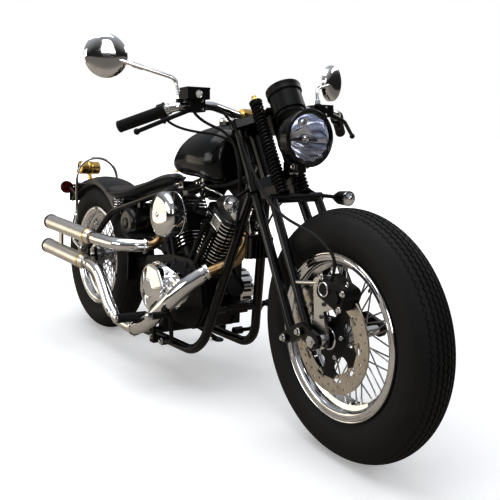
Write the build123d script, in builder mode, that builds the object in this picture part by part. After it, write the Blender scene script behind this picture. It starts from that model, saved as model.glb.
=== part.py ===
"""Rigid-frame twin-cylinder bobber motorcycle with a spring fork, parked on its side stand.

Lengths are millimetres. Every piece is drawn on the upright machine with the wheel straight ahead:
X runs forward from the rear axle, Y to the rider's left, Z up from the ground. Only when a piece is
saved is it turned with the fork, leaned onto the side stand and centred over the origin.
"""
import math
import os

from build123d import *

os.makedirs("parts", exist_ok=True)

# Layout of the whole machine
WHEELBASE = 1600.0
TYRE_RADIUS = 340.0
TYRE_HALF_WIDTH = 66.0
RAKE = 30.0
LEAN = 5.0
STEER_AT_REST = -5.0
CENTRE_SHIFT = -36.95
TOUCH_GAP = 0.3
RUN_GAP = 0.05

# Wheels
RIM_SEAT = 203.0
RIM_HALF_WIDTH = 50.0
RIM_WALL = 4.0
SPOKES_PER_FLANGE = 20
SPOKE_RADIUS = 2.0
SPOKE_SWEEP = 42.0
HUB_FLANGE_RADIUS = 40.0
HUB_FLANGE_OFFSET = 27.0
AXLE_RADIUS = 10.0
SPACER_RADIUS = 14.0
DISC_RADIUS = 149.0
DISC_THICKNESS = 5.0
DISC_OFFSET = -62.0

# Spring fork, measured along and ahead of the rigid legs from the rocker pivot
AXLE_AHEAD = 118.0
AXLE_ALONG = -44.0
STUD_AHEAD = 76.0
STUD_ALONG = -5.0
STEM_AHEAD = -12.0
STEM_RADIUS = 15.0
LEG_RADIUS = 14.0
LEG_SPREAD_LOW = 92.0
LEG_SPREAD_HIGH = 74.0
LEG_TOP = 690.0
LOWER_TREE = 440.0
LOWER_TREE_THICKNESS = 32.0
UPPER_TREE = 655.0
UPPER_TREE_THICKNESS = 26.0
SPRING_SPREAD = 38.0
SPRING_RADIUS = 20.0
SPRING_WIRE = 3.6
SPRING_PITCH = 13.0
SPRING_TOP = 712.0
SPRING_NUT = 8.0
ROD_RADIUS = 6.0
BRIDGE_ALONG = 385.0
ROCKER_INNER = 107.0
ROCKER_THICKNESS = 12.0

# Handlebar and what it carries
BAR_RADIUS = 12.7
BAR_ALONG = 704.0
BAR_AHEAD = 8.0
RISER_SPREAD = 40.0
GRIP_RADIUS = 17.0
GRIP_LENGTH = 132.0
LAMP_LENS_RADIUS = 72.0
LAMP_FACE_X = 1418.0
LAMP_HEIGHT = 862.0
MIRROR_RADIUS = 60.0

# Frame
TUBE_RADIUS = 16.0
SPINE_RADIUS = 19.0
STAY_RADIUS = 13.0
HEAD_RADIUS = 32.0
AXLE_PLATE_OFFSET = 118.0
AXLE_PLATE_THICKNESS = 10.0

# Engine
CRANK_X = 850.0
CRANK_Z = 330.0
FRONT_TILT = 32.0
REAR_TILT = -30.0
CASE_HALF_WIDTH = 100.0
GENERATOR_X = 872.0
DECK = 150.0
BARREL_RADIUS = 56.0
FIN_THICKNESS = 4.0
FIN_PITCH = 13.5
HEAD_BASE = 286.0
HEAD_TOP = 345.0
AIR_CLEANER_X = 860.0
AIR_CLEANER_Z = 602.0
AIR_CLEANER_RADIUS = 79.0
PIPE_RADIUS = 20.0
SILENCER_RADIUS = 31.0
OUTLET_RADIUS = 18.0

# Rear
FENDER_RADIUS = 363.0
FENDER_HALF_WIDTH = 78.5
FENDER_SKIN = 3.0
HOOP_RADIUS = 6.0
SPROCKET_RADIUS = 112.0
DRIVE_SPROCKET_RADIUS = 43.0
DRIVE_X = 640.0
CHAIN_LINE = 80.0

# Side stand
STAND_PIVOT = (430.0, 163.0, 120.0)
STAND_FOOT = (535.0, 282.0)
STAND_RADIUS = 9.0
STAND_STOWED = (-0.984, 0.098, 0.148)

rake = math.radians(RAKE)
lean = math.radians(LEAN)
fork_up = Vector(-math.sin(rake), 0, math.cos(rake))
fork_forward = Vector(math.cos(rake), 0, math.sin(rake))
front_axle_at = Vector(WHEELBASE, 0, TYRE_RADIUS)
rear_axle_at = Vector(0, 0, TYRE_RADIUS)
rocker_pivot_at = front_axle_at - fork_up * AXLE_ALONG - fork_forward * AXLE_AHEAD
fork_plane = Plane(origin=rocker_pivot_at, x_dir=fork_forward, z_dir=fork_up)
lateral = Vector(0, 1, 0)


def fork_point(ahead, left, along):
    """Point given ahead of, left of and along the rigid fork legs."""
    return rocker_pivot_at + fork_forward * ahead + lateral * left + fork_up * along


steering_axis = Axis(fork_point(STEM_AHEAD, 0, 0), fork_up)
crown = TYRE_HALF_WIDTH
parking = Pos(-WHEELBASE / 2, CENTRE_SHIFT, crown) * Rot(X=-LEAN) * Pos(0, 0, -crown)


def save(part, label, steered=False):
    """Park a finished piece, name it and write its file."""
    if steered:
        part = part.rotate(steering_axis, STEER_AT_REST)
    part = parking * part
    part.label = label
    export_step(part, "parts/" + label + ".step")


def tube(points, radius, bends=None):
    """Round bar along straight runs joined by tangent arcs."""
    with BuildPart() as bar:
        with BuildLine() as path:
            if bends is None:
                Line(points[0], points[1])
            else:
                FilletPolyline(*points, radius=bends)
        with BuildSketch(Plane(origin=path.line @ 0, z_dir=path.line % 0)):
            Circle(radius)
        sweep(path=path.wire())
    return bar.part


def rod(start, end, radius):
    """Straight round bar between two points."""
    return tube([Vector(start), Vector(end)], radius)


def cable(points, radius):
    """Bendy cable: the widest arc that fits at every corner."""
    line = [Vector(p) for p in points]
    bends = []
    for before, corner, after in zip(line, line[1:], line[2:]):
        turn = (corner - before).get_angle(after - corner)
        room = 0.47 * min((corner - before).length, (after - corner).length)
        bends.append(room / math.tan(math.radians(turn) / 2))
    return tube(line, radius, bends)


def swapped(points):
    """The same points on the other side of the machine."""
    return [(x, -y, z) for x, y, z in points]


def side_disc(x, z, radius, y_from, y_to):
    """Disc standing on its edge, its axis across the machine."""
    with BuildPart() as disc:
        with BuildSketch(Plane.XZ.offset(-y_to)):
            with Locations((x, z)):
                Circle(radius)
        extrude(amount=y_to - y_from)
    return disc.part


def block(x_span, y_span, z_span):
    """Plain box between two corners."""
    size = [span[1] - span[0] for span in (x_span, y_span, z_span)]
    middle = [(span[1] + span[0]) / 2 for span in (x_span, y_span, z_span)]
    with BuildPart() as body:
        with Locations(tuple(middle)):
            Box(*size)
    return body.part


# Wheels

def tyre(axle):
    with BuildPart() as ring:
        with BuildSketch(Plane.YZ.offset(axle.X)) as section:
            with BuildLine():
                z = axle.Z
                w = TYRE_HALF_WIDTH
                Line((-40, z + RIM_SEAT), (-44, z + 228))
                ThreePointArc((-44, z + 228), (-w, z + 274), (-46, z + 322))
                ThreePointArc((-46, z + 322), (0, z + TYRE_RADIUS), (46, z + 322))
                ThreePointArc((46, z + 322), (w, z + 274), (44, z + 228))
                Polyline((44, z + 228), (40, z + RIM_SEAT), (31, z + RIM_SEAT), (33, z + 228))
                ThreePointArc((33, z + 228), (w - 10, z + 274), (0, z + TYRE_RADIUS - 12))
                ThreePointArc((0, z + TYRE_RADIUS - 12), (10 - w, z + 274), (-33, z + 228))
                Polyline((-33, z + 228), (-31, z + RIM_SEAT), (-40, z + RIM_SEAT))
            make_face()
        revolve(axis=Axis(axle, lateral))
    return ring.part


def rim(axle):
    outer = [(-RIM_HALF_WIDTH, 226), (-45, 226), (-43, 207), (-40, RIM_SEAT), (-22, RIM_SEAT), (-16, 190)]
    inner = [(-19, 185), (-25, 198), (-42, 198), (-48, 205), (-RIM_HALF_WIDTH, 221)]
    half = outer + [(-y, r) for y, r in reversed(outer)]
    back = [(-y, r) for y, r in reversed(inner)] + inner
    with BuildPart() as ring:
        with BuildSketch(Plane.YZ.offset(axle.X)):
            with BuildLine():
                Polyline(*[(y, axle.Z + r) for y, r in half + back], close=True)
            make_face()
        revolve(axis=Axis(axle, lateral))
    return ring.part


def hub(axle, section):
    """Turned hub with both flanges and all its spokes."""
    with BuildPart() as body:
        with BuildSketch(Plane.YZ.offset(axle.X)):
            with BuildLine():
                Polyline(*[(y, axle.Z + r) for y, r in section], close=True)
            make_face()
        revolve(axis=Axis(axle, lateral))
        for side in (-1, 1):
            for i in range(SPOKES_PER_FLANGE):
                turn = SPOKE_SWEEP if i % 2 else -SPOKE_SWEEP
                hole = math.radians(360 * (i + 0.25 * side) / SPOKES_PER_FLANGE)
                seat = hole + math.radians(turn)
                out = side * (HUB_FLANGE_OFFSET + (4.5 if i % 2 else -4.5))
                start = axle + Vector(math.cos(hole) * 34, out, math.sin(hole) * 34)
                end = axle + Vector(math.cos(seat) * 187, side * 7, math.sin(seat) * 187)
                add(rod(start, end, SPOKE_RADIUS))
    return body.part


front_hub_section = [
    (-56, AXLE_RADIUS + RUN_GAP), (-56, 36), (-49, 36), (-47, 26), (-33, 26), (-32, HUB_FLANGE_RADIUS),
    (-22, HUB_FLANGE_RADIUS), (-20, 24), (20, 24), (22, HUB_FLANGE_RADIUS), (32, HUB_FLANGE_RADIUS),
    (34, 26), (46, 24), (48, AXLE_RADIUS + RUN_GAP)]
rear_hub_section = [
    (-84, AXLE_RADIUS + RUN_GAP), (-84, 60), (-78, 78), (-46, 78), (-42, 30), (-33, 28),
    (-32, HUB_FLANGE_RADIUS), (-22, HUB_FLANGE_RADIUS), (-20, 26), (20, 26), (22, HUB_FLANGE_RADIUS),
    (32, HUB_FLANGE_RADIUS), (34, 30), (66, 30), (68, 48), (76, 48), (78, 24), (92, 22),
    (92, AXLE_RADIUS + RUN_GAP)]

front_tyre = tyre(front_axle_at)
rear_tyre = tyre(rear_axle_at)
front_rim = rim(front_axle_at)
rear_rim = rim(rear_axle_at)
front_hub = hub(front_axle_at, front_hub_section)
rear_hub = hub(rear_axle_at, rear_hub_section)

with BuildPart() as front_disc:
    with BuildSketch(Plane.XZ.offset(-DISC_OFFSET - DISC_THICKNESS / 2)):
        with Locations((front_axle_at.X, front_axle_at.Z)):
            Circle(DISC_RADIUS)
            Circle(30, mode=Mode.SUBTRACT)
            with PolarLocations(112, 10):
                SlotOverall(34, 11, rotation=90, mode=Mode.SUBTRACT)
            with PolarLocations(78, 5, start_angle=18):
                SlotOverall(62, 40, rotation=90, mode=Mode.SUBTRACT)
            with PolarLocations(126, 20):
                Circle(4, mode=Mode.SUBTRACT)
            with PolarLocations(139, 20, start_angle=9):
                Circle(4, mode=Mode.SUBTRACT)
    extrude(amount=DISC_THICKNESS, both=False)
    with BuildSketch(Plane.XZ.offset(-DISC_OFFSET - DISC_THICKNESS / 2)):
        with Locations((front_axle_at.X, front_axle_at.Z)):
            Circle(36)
            Circle(15, mode=Mode.SUBTRACT)
    extrude(amount=-(abs(DISC_OFFSET) - DISC_THICKNESS / 2 - 56))

with BuildPart() as rear_sprocket:
    with BuildSketch(Plane.XZ.offset(-CHAIN_LINE - 3)):
        with Locations((0, TYRE_RADIUS)):
            Circle(SPROCKET_RADIUS)
            with PolarLocations(SPROCKET_RADIUS + 3, 46):
                Circle(5, mode=Mode.SUBTRACT)
            with PolarLocations(72, 5):
                Circle(20, mode=Mode.SUBTRACT)
            Circle(24, mode=Mode.SUBTRACT)
    extrude(amount=6)
    add(rear_hub, mode=Mode.SUBTRACT)

save(front_tyre, "front_tyre", steered=True)
save(front_rim, "front_rim", steered=True)
save(front_hub, "front_hub", steered=True)
save(front_disc.part, "front_disc", steered=True)
save(rear_tyre, "rear_tyre")
save(rear_rim, "rear_rim")
save(rear_hub, "rear_hub")
save(rear_sprocket.part, "rear_sprocket")

# Fork

with BuildPart() as fork_legs:
    for side in (-1, 1):
        add(rod(fork_point(0, side * LEG_SPREAD_LOW, 0), fork_point(0, side * LEG_SPREAD_HIGH, LEG_TOP),
                LEG_RADIUS))
        low = fork_point(0, side * LEG_SPREAD_LOW, 0)
        add(side_disc(low.X, low.Z, 17, min(side * 78, side * ROCKER_INNER), max(side * 78, side * ROCKER_INNER)))

with BuildPart() as spring_legs:
    for side in (-1, 1):
        low = fork_point(STUD_AHEAD, side * LEG_SPREAD_LOW, STUD_ALONG)
        high = fork_point(STUD_AHEAD, side * 80, BRIDGE_ALONG)
        add(rod(low, high, LEG_RADIUS - 1))
        add(side_disc(low.X, low.Z, 15, min(side * 79, side * ROCKER_INNER), max(side * 79, side * ROCKER_INNER)))
        add(rod(fork_point(STUD_AHEAD, side * SPRING_SPREAD, BRIDGE_ALONG),
                fork_point(STUD_AHEAD, side * SPRING_SPREAD, SPRING_TOP + SPRING_NUT), ROD_RADIUS))
    add(rod(fork_point(STUD_AHEAD, -94, BRIDGE_ALONG), fork_point(STUD_AHEAD, 94, BRIDGE_ALONG), LEG_RADIUS))

# The trees end behind the springs; a tongue between the springs carries lamp and instrument
TREE_FRONT = STUD_AHEAD - SPRING_RADIUS - 14
TONGUE_WIDTH = 2 * (SPRING_SPREAD - SPRING_RADIUS) - 6
with BuildPart() as fork_trees:
    with BuildSketch(fork_plane.offset(LOWER_TREE)):
        with Locations((0, -80), (0, 80)):
            Circle(25)
        with Locations((STEM_AHEAD, 0)):
            Circle(34)
        with Locations((TREE_FRONT, -SPRING_SPREAD), (TREE_FRONT, SPRING_SPREAD)):
            Circle(10)
        make_hull()
        with Locations((TREE_FRONT, 0)):
            Rectangle(2 * (STUD_AHEAD + 25 - TREE_FRONT), TONGUE_WIDTH)
    extrude(amount=LOWER_TREE_THICKNESS)
    with BuildSketch(fork_plane.offset(UPPER_TREE)):
        with Locations((0, -75), (0, 75)):
            Circle(22)
        with Locations((STEM_AHEAD, 0)):
            Circle(32)
        with Locations((TREE_FRONT, -SPRING_SPREAD), (TREE_FRONT, SPRING_SPREAD)):
            Circle(10)
        make_hull()
        with Locations((TREE_FRONT, 0)):
            Rectangle(2 * (STUD_AHEAD + 17 - TREE_FRONT), TONGUE_WIDTH)
    extrude(amount=UPPER_TREE_THICKNESS)
    add(rod(fork_point(STEM_AHEAD, 0, LOWER_TREE), fork_point(STEM_AHEAD, 0, UPPER_TREE), STEM_RADIUS))
    add(fork_legs.part, mode=Mode.SUBTRACT)
    add(spring_legs.part, mode=Mode.SUBTRACT)


def coil(bottom, top, side):
    """Coil spring round its rod, each turn drawn as a ring on a thin sleeve."""
    turns = int((top - bottom) / SPRING_PITCH)
    step = (top - bottom) / turns
    sleeve = ROD_RADIUS + 6
    with BuildPart() as spring:
        with BuildSketch(Plane.XZ):
            with BuildLine():
                Polyline((sleeve, 0), (ROD_RADIUS, 0), (ROD_RADIUS, top - bottom), (sleeve, top - bottom))
                for k in range(turns):
                    high = top - bottom - k * step
                    middle = high - step / 2
                    out = SPRING_RADIUS - SPRING_WIRE
                    Polyline((sleeve, high), (sleeve, middle + SPRING_WIRE), (out, middle + SPRING_WIRE))
                    ThreePointArc((out, middle + SPRING_WIRE), (SPRING_RADIUS, middle), (out, middle - SPRING_WIRE))
                    Polyline((out, middle - SPRING_WIRE), (sleeve, middle - SPRING_WIRE), (sleeve, high - step))
            make_face()
        revolve(axis=Axis.Z)
    place = Plane(origin=fork_point(STUD_AHEAD, side * SPRING_SPREAD, bottom), x_dir=fork_forward, z_dir=fork_up)
    return place.location * spring.part


with BuildPart() as fork_springs:
    for side in (-1, 1):
        add(coil(BRIDGE_ALONG + LEG_RADIUS + TOUCH_GAP, SPRING_TOP, side))

with BuildPart() as brass_fittings:
    for side in (-1, 1):
        with BuildSketch(Plane(origin=fork_point(STUD_AHEAD, side * SPRING_SPREAD, SPRING_TOP),
                               x_dir=fork_forward, z_dir=fork_up)):
            RegularPolygon(12, 6)
            Circle(ROD_RADIUS, mode=Mode.SUBTRACT)
        extrude(amount=SPRING_NUT)
        add(rod(fork_point(STUD_AHEAD, side * SPRING_SPREAD, SPRING_TOP + SPRING_NUT),
                fork_point(STUD_AHEAD, side * SPRING_SPREAD, SPRING_TOP + SPRING_NUT + 9), 8))
        add(rod(fork_point(BAR_AHEAD, side * RISER_SPREAD, UPPER_TREE + UPPER_TREE_THICKNESS),
                fork_point(BAR_AHEAD, side * RISER_SPREAD, BAR_ALONG), 17))
        middle = fork_point(BAR_AHEAD, side * RISER_SPREAD, BAR_ALONG)
        add(side_disc(middle.X, middle.Z, 21, middle.Y - 15, middle.Y + 15))
        add(side_disc(middle.X, middle.Z, BAR_RADIUS, middle.Y - 20, middle.Y + 20), mode=Mode.SUBTRACT)

with BuildPart() as fork_rockers:
    pivot = fork_point(0, 0, 0)
    stud = fork_point(STUD_AHEAD, 0, STUD_ALONG)
    for side in (-1, 1):
        outer = max(side * ROCKER_INNER, side * (ROCKER_INNER + ROCKER_THICKNESS))
        with BuildSketch(Plane.XZ.offset(-outer)):
            with Locations((pivot.X, pivot.Z)):
                Circle(18)
            with Locations((stud.X, stud.Z + 4)):
                Circle(20)
            make_hull()
        extrude(amount=ROCKER_THICKNESS)
        with BuildSketch(Plane.XZ.offset(-outer)):
            with Locations((stud.X, stud.Z + 4)):
                Circle(20)
            with Locations((front_axle_at.X, front_axle_at.Z)):
                Circle(22)
            make_hull()
        extrude(amount=ROCKER_THICKNESS)
        face = side * (ROCKER_INNER + ROCKER_THICKNESS)
        for x, z in ((pivot.X, pivot.Z), (stud.X, stud.Z)):
            add(side_disc(x, z, 10, min(face, face + side * 7), max(face, face + side * 7)))
        with BuildSketch(Plane.XZ.offset(-outer)):
            with Locations((front_axle_at.X, front_axle_at.Z)):
                Circle(AXLE_RADIUS)
        extrude(amount=ROCKER_THICKNESS, mode=Mode.SUBTRACT)

with BuildPart() as front_axle:
    end = ROCKER_INNER + ROCKER_THICKNESS
    add(side_disc(front_axle_at.X, front_axle_at.Z, AXLE_RADIUS, -end - 14, end + 14))
    add(side_disc(front_axle_at.X, front_axle_at.Z, SPACER_RADIUS, -ROCKER_INNER, -57))
    add(side_disc(front_axle_at.X, front_axle_at.Z, SPACER_RADIUS, 49, ROCKER_INNER))
    for plane in (Plane.XZ.offset(end), Plane.XZ.offset(-end - 11)):
        with BuildSketch(plane):
            with Locations((front_axle_at.X, front_axle_at.Z)):
                RegularPolygon(17, 6)
        extrude(amount=11)

# Front brake

caliper_lean = 19.0
caliper_plane = Plane(origin=front_axle_at, x_dir=(math.cos(math.radians(caliper_lean)), 0,
                                                   -math.sin(math.radians(caliper_lean))), z_dir=(0, -1, 0))

with BuildPart() as caliper_bracket:
    with BuildSketch(Plane.XZ.offset(84)):
        with Locations((front_axle_at.X, front_axle_at.Z)):
            Circle(25)
        with Locations((1580, 488)):
            Circle(15)
        make_hull()
        with Locations((front_axle_at.X, front_axle_at.Z)):
            Circle(SPACER_RADIUS, mode=Mode.SUBTRACT)
    extrude(amount=11)
    with BuildSketch(Plane.XZ.offset(84)):
        with Locations((1590, 425), (1618, 500), (1655, 452)):
            Circle(15)
        make_hull()
    extrude(amount=11)
    add(rod((1580, -90, 488), (1472, -89.5, 470), 6))
    add(spring_legs.part, mode=Mode.SUBTRACT)

with BuildPart() as brake_caliper:
    with BuildSketch(caliper_plane.offset(50)):
        with Locations((0, 141)):
            RectangleRounded(104, 62, 16)
    extrude(amount=54)
    with BuildSketch(caliper_plane.offset(104)):
        with Locations((-22, 141), (22, 141)):
            Circle(17)
    extrude(amount=6)
    with BuildSketch(caliper_plane.offset(-DISC_OFFSET - DISC_THICKNESS / 2 - 5.2)):
        Circle(DISC_RADIUS + 6)
    extrude(amount=DISC_THICKNESS + 10.4, mode=Mode.SUBTRACT)
    add(caliper_bracket.part, mode=Mode.SUBTRACT)

# Lamps and instrument on the fork

with BuildPart() as headlight_bucket:
    with BuildSketch(Plane.XZ):
        with BuildLine():
            Polyline((LAMP_FACE_X - 104, LAMP_HEIGHT), (LAMP_FACE_X - 104, LAMP_HEIGHT + 22))
            ThreePointArc((LAMP_FACE_X - 104, LAMP_HEIGHT + 22), (LAMP_FACE_X - 74, LAMP_HEIGHT + 64),
                          (LAMP_FACE_X - 24, LAMP_HEIGHT + 78))
            Polyline((LAMP_FACE_X - 24, LAMP_HEIGHT + 78), (LAMP_FACE_X - 20, LAMP_HEIGHT + 81),
                     (LAMP_FACE_X - 8, LAMP_HEIGHT + 81), (LAMP_FACE_X, LAMP_HEIGHT + 77),
                     (LAMP_FACE_X, LAMP_HEIGHT + LAMP_LENS_RADIUS),
                     (LAMP_FACE_X - 12, LAMP_HEIGHT + LAMP_LENS_RADIUS),
                     (LAMP_FACE_X - 12, LAMP_HEIGHT + 69))
            ThreePointArc((LAMP_FACE_X - 12, LAMP_HEIGHT + 69), (LAMP_FACE_X - 60, LAMP_HEIGHT + 50),
                          (LAMP_FACE_X - 84, LAMP_HEIGHT + 18))
            Polyline((LAMP_FACE_X - 84, LAMP_HEIGHT + 18), (LAMP_FACE_X - 84, LAMP_HEIGHT),
                     (LAMP_FACE_X - 104, LAMP_HEIGHT))
        make_face()
    revolve(axis=Axis((LAMP_FACE_X, 0, LAMP_HEIGHT), (1, 0, 0)))
    add(block((LAMP_FACE_X - 112, LAMP_FACE_X - 40), (-15, 15), (764, 794)))
    add(fork_trees.part, mode=Mode.SUBTRACT)

with BuildPart() as headlight_lens:
    with BuildSketch(Plane.XZ):
        with BuildLine():
            x = LAMP_FACE_X
            z = LAMP_HEIGHT
            Line((x - 12, z), (x - 12, z + LAMP_LENS_RADIUS))
            Line((x - 12, z + LAMP_LENS_RADIUS), (x - 1, z + LAMP_LENS_RADIUS))
            RadiusArc((x - 1, z + LAMP_LENS_RADIUS), (x + 11, z), (LAMP_LENS_RADIUS ** 2 + 12 ** 2) / 24)
            Line((x + 11, z), (x - 12, z))
        make_face()
    revolve(axis=Axis((LAMP_FACE_X, 0, LAMP_HEIGHT), (1, 0, 0)))

SPEEDO_AHEAD = 170.0
SPEEDO_ALONG = 604.0
with BuildPart() as speedometer:
    base = Plane(origin=fork_point(SPEEDO_AHEAD, 0, SPEEDO_ALONG), x_dir=fork_forward, z_dir=fork_up)
    with BuildSketch(base):
        Circle(42)
    extrude(amount=10)
    with BuildSketch(base.offset(10)):
        Circle(48)
    extrude(amount=58)
    with BuildSketch(base.offset(68)):
        Circle(52)
    extrude(amount=22)
    with BuildSketch(base.offset(84)):
        Circle(45)
    extrude(amount=6, mode=Mode.SUBTRACT)
    with BuildSketch(base.offset(58)):
        with Locations((-66, 0)):
            Rectangle(60, 34)
    extrude(amount=8)
    add(fork_trees.part, mode=Mode.SUBTRACT)

with BuildPart() as front_signals:
    for side in (-1, 1):
        tree_side = fork_point(4, side * 100, LOWER_TREE + 14)
        with BuildSketch(Plane.XZ.offset(-side * 211)):
            with BuildLine():
                Polyline((1268, 680), (1268, 688), (1296, 701), (1330, 703), (1338, 700), (1346, 680), close=True)
            make_face()
        revolve(axis=Axis((1300, side * 211, 680), (1, 0, 0)))
        add(tube([tree_side, Vector(tree_side.X + 6, side * 150, 688), Vector(1300, side * 205, 682)], 6, 30))
    add(fork_trees.part, mode=Mode.SUBTRACT)

# Handlebar and controls

bar_middle = fork_point(BAR_AHEAD, 0, BAR_ALONG)
bar_right = [(bar_middle.X, -66, bar_middle.Z), (1158, -172, 957), (1166, -292, 951), (1043, -416, 895)]
bar_path = list(reversed(swapped(bar_right))) + bar_right

with BuildPart() as handlebar:
    add(tube(bar_path, BAR_RADIUS, [55, 90, 55, 55, 90, 55]))

grip_way = (Vector(*bar_right[3]) - Vector(*bar_right[2])).normalized()
with BuildPart() as grips:
    for side in (-1, 1):
        way = Vector(grip_way.X, side * abs(grip_way.Y), grip_way.Z)
        end = Vector(bar_right[3][0], -side * bar_right[3][1], bar_right[3][2])
        add(rod(end - way * GRIP_LENGTH, end + way * 6, GRIP_RADIUS))
        add(rod(end - way * (GRIP_LENGTH + 16), end - way * (GRIP_LENGTH - 6), GRIP_RADIUS + 5))
    add(handlebar.part, mode=Mode.SUBTRACT)


def lever(side):
    """Hand lever in front of the grip, with its ball end."""
    points = [(1184, side * 242, 947), (1196, side * 304, 925), (1128, side * 400, 878)]
    with BuildPart() as blade:
        add(tube([Vector(*p) for p in points], 6, 40))
        with Locations(points[2]):
            Sphere(9)
    return blade.part


with BuildPart() as brake_master:
    add(block((1142, 1198), (-262, -216), (936, 974)))
    add(block((1170, 1222), (-284, -214), (970, 998)))
    add(lever(-1))
    add(rod((1160, -279, 938), (1160, -279, 972), 11))
    add(handlebar.part, mode=Mode.SUBTRACT)

with BuildPart() as clutch_perch:
    add(block((1142, 1198), (200, 256), (936, 974)))
    add(block((1146, 1186), (186, 204), (942, 972)))
    add(lever(1))
    add(rod((1160, 222, 938), (1160, 222, 978), 11))
    add(handlebar.part, mode=Mode.SUBTRACT)


def mirror_on(base, elbow, head, back):
    """Round mirror on a bent stem; back is the way its domed shell faces."""
    with BuildPart() as glass:
        shell = Plane(origin=Vector(*head), z_dir=Vector(*back))
        with BuildSketch(shell.offset(-12)):
            Circle(MIRROR_RADIUS)
        extrude(amount=12)
        with BuildSketch(shell):
            Circle(MIRROR_RADIUS)
        with BuildSketch(shell.offset(10)):
            Circle(MIRROR_RADIUS - 16)
        loft()
        add(tube([Vector(*base), Vector(*elbow), Vector(*head) + shell.z_dir * 5], 5.5, 30))
    return glass.part


with BuildPart() as mirrors:
    add(mirror_on((1160, -279, 964), (1138, -279, 1031), (1075, -466, 1088), (0.95, -0.28, -0.08)))
    add(mirror_on((1160, 222, 970), (1140, 232, 1031), (1085, 342, 1057), (0.9, 0.42, -0.05)))
    add(handlebar.part, mode=Mode.SUBTRACT)
    add(brake_master.part, mode=Mode.SUBTRACT)
    add(clutch_perch.part, mode=Mode.SUBTRACT)

HOSE_RADIUS = 4.0
hose_line = [(1188, -220, 957), (1196, -165, 948), (1206, -114, 884), fork_point(60, -112, 500),
             fork_point(110, -114, 330), (1590, -104, 612), (1652, -92, 562), (1637, -90, 506)]
with BuildPart() as brake_hose:
    add(cable(hose_line, HOSE_RADIUS))
    add(brake_master.part, mode=Mode.SUBTRACT)
    add(brake_caliper.part, mode=Mode.SUBTRACT)

for part, label in (
        (fork_legs, "fork_legs"), (spring_legs, "spring_legs"), (fork_trees, "fork_trees"),
        (fork_springs, "fork_springs"), (brass_fittings, "brass_fittings"), (fork_rockers, "fork_rockers"),
        (front_axle, "front_axle"), (caliper_bracket, "caliper_bracket"), (brake_caliper, "brake_caliper"),
        (headlight_bucket, "headlight_bucket"), (headlight_lens, "headlight_lens"),
        (speedometer, "speedometer"), (front_signals, "front_signals"), (handlebar, "handlebar"),
        (grips, "grips"), (brake_master, "brake_master"), (clutch_perch, "clutch_perch"), (mirrors, "mirrors"),
        (brake_hose, "brake_hose")):
    save(part.part, label, steered=True)

# Frame

spine_line = [fork_point(STEM_AHEAD, 0, 575), Vector(770, 0, 697)]
stay_right = [(770, -40, 697), (700, -60, 680), (262, -92, 566), (30, -AXLE_PLATE_OFFSET, 366)]
HORN_TUBE_X = 1155.0
HORN_TUBE_Z = 676.0
cradle_right = [(1180, -16, 775), (1020, -112, 146), (420, -122, 140), (28, -AXLE_PLATE_OFFSET, 332)]

with BuildPart() as frame_spine:
    add(rod(fork_point(STEM_AHEAD, 0, 482), fork_point(STEM_AHEAD, 0, 646), HEAD_RADIUS))
    add(rod(spine_line[0], spine_line[1], SPINE_RADIUS))
    add(side_disc(770, 697, 17, -58, 58))
    add(rod(fork_point(STEM_AHEAD, 0, 470), fork_point(STEM_AHEAD, 0, 660), STEM_RADIUS + RUN_GAP),
        mode=Mode.SUBTRACT)

with BuildPart() as frame_stays:
    for points in (stay_right, swapped(stay_right)):
        add(tube([Vector(*p) for p in points], STAY_RADIUS, [60, 90]))
    add(frame_spine.part, mode=Mode.SUBTRACT)

with BuildPart() as frame_cradle:
    for points in (cradle_right, swapped(cradle_right)):
        add(tube([Vector(*p) for p in points], TUBE_RADIUS, [110, 110]))
    for side in (-1, 1):
        middle = side * AXLE_PLATE_OFFSET
        with BuildSketch(Plane.XZ.offset(-middle - AXLE_PLATE_THICKNESS / 2)):
            with Locations((0, TYRE_RADIUS), (44, 372), (46, 336)):
                Circle(30)
            make_hull()
            with Locations((0, TYRE_RADIUS)):
                Circle(AXLE_RADIUS, mode=Mode.SUBTRACT)
        extrude(amount=AXLE_PLATE_THICKNESS)
    add(side_disc(650, 139, 13, -122, 122))
    add(side_disc(1060, 302, 13, -88, 88))
    add(side_disc(HORN_TUBE_X, HORN_TUBE_Z, 10, -31, 31))
    add(rod(fork_point(STEM_AHEAD, 0, 482), fork_point(STEM_AHEAD, 0, 646), HEAD_RADIUS), mode=Mode.SUBTRACT)
    add(frame_spine.part, mode=Mode.SUBTRACT)
    add(frame_stays.part, mode=Mode.SUBTRACT)

with BuildPart() as rear_axle:
    inner = AXLE_PLATE_OFFSET - AXLE_PLATE_THICKNESS / 2
    face = AXLE_PLATE_OFFSET + AXLE_PLATE_THICKNESS / 2
    add(side_disc(0, TYRE_RADIUS, AXLE_RADIUS, -face - 16, face + 28))
    add(side_disc(0, TYRE_RADIUS, SPACER_RADIUS, -inner, -85))
    add(side_disc(0, TYRE_RADIUS, SPACER_RADIUS, 93, inner))
    for plane in (Plane.XZ.offset(face), Plane.XZ.offset(-face - 12)):
        with BuildSketch(plane):
            with Locations((0, TYRE_RADIUS)):
                RegularPolygon(17, 6)
        extrude(amount=12)

# Tank and seat


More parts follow.
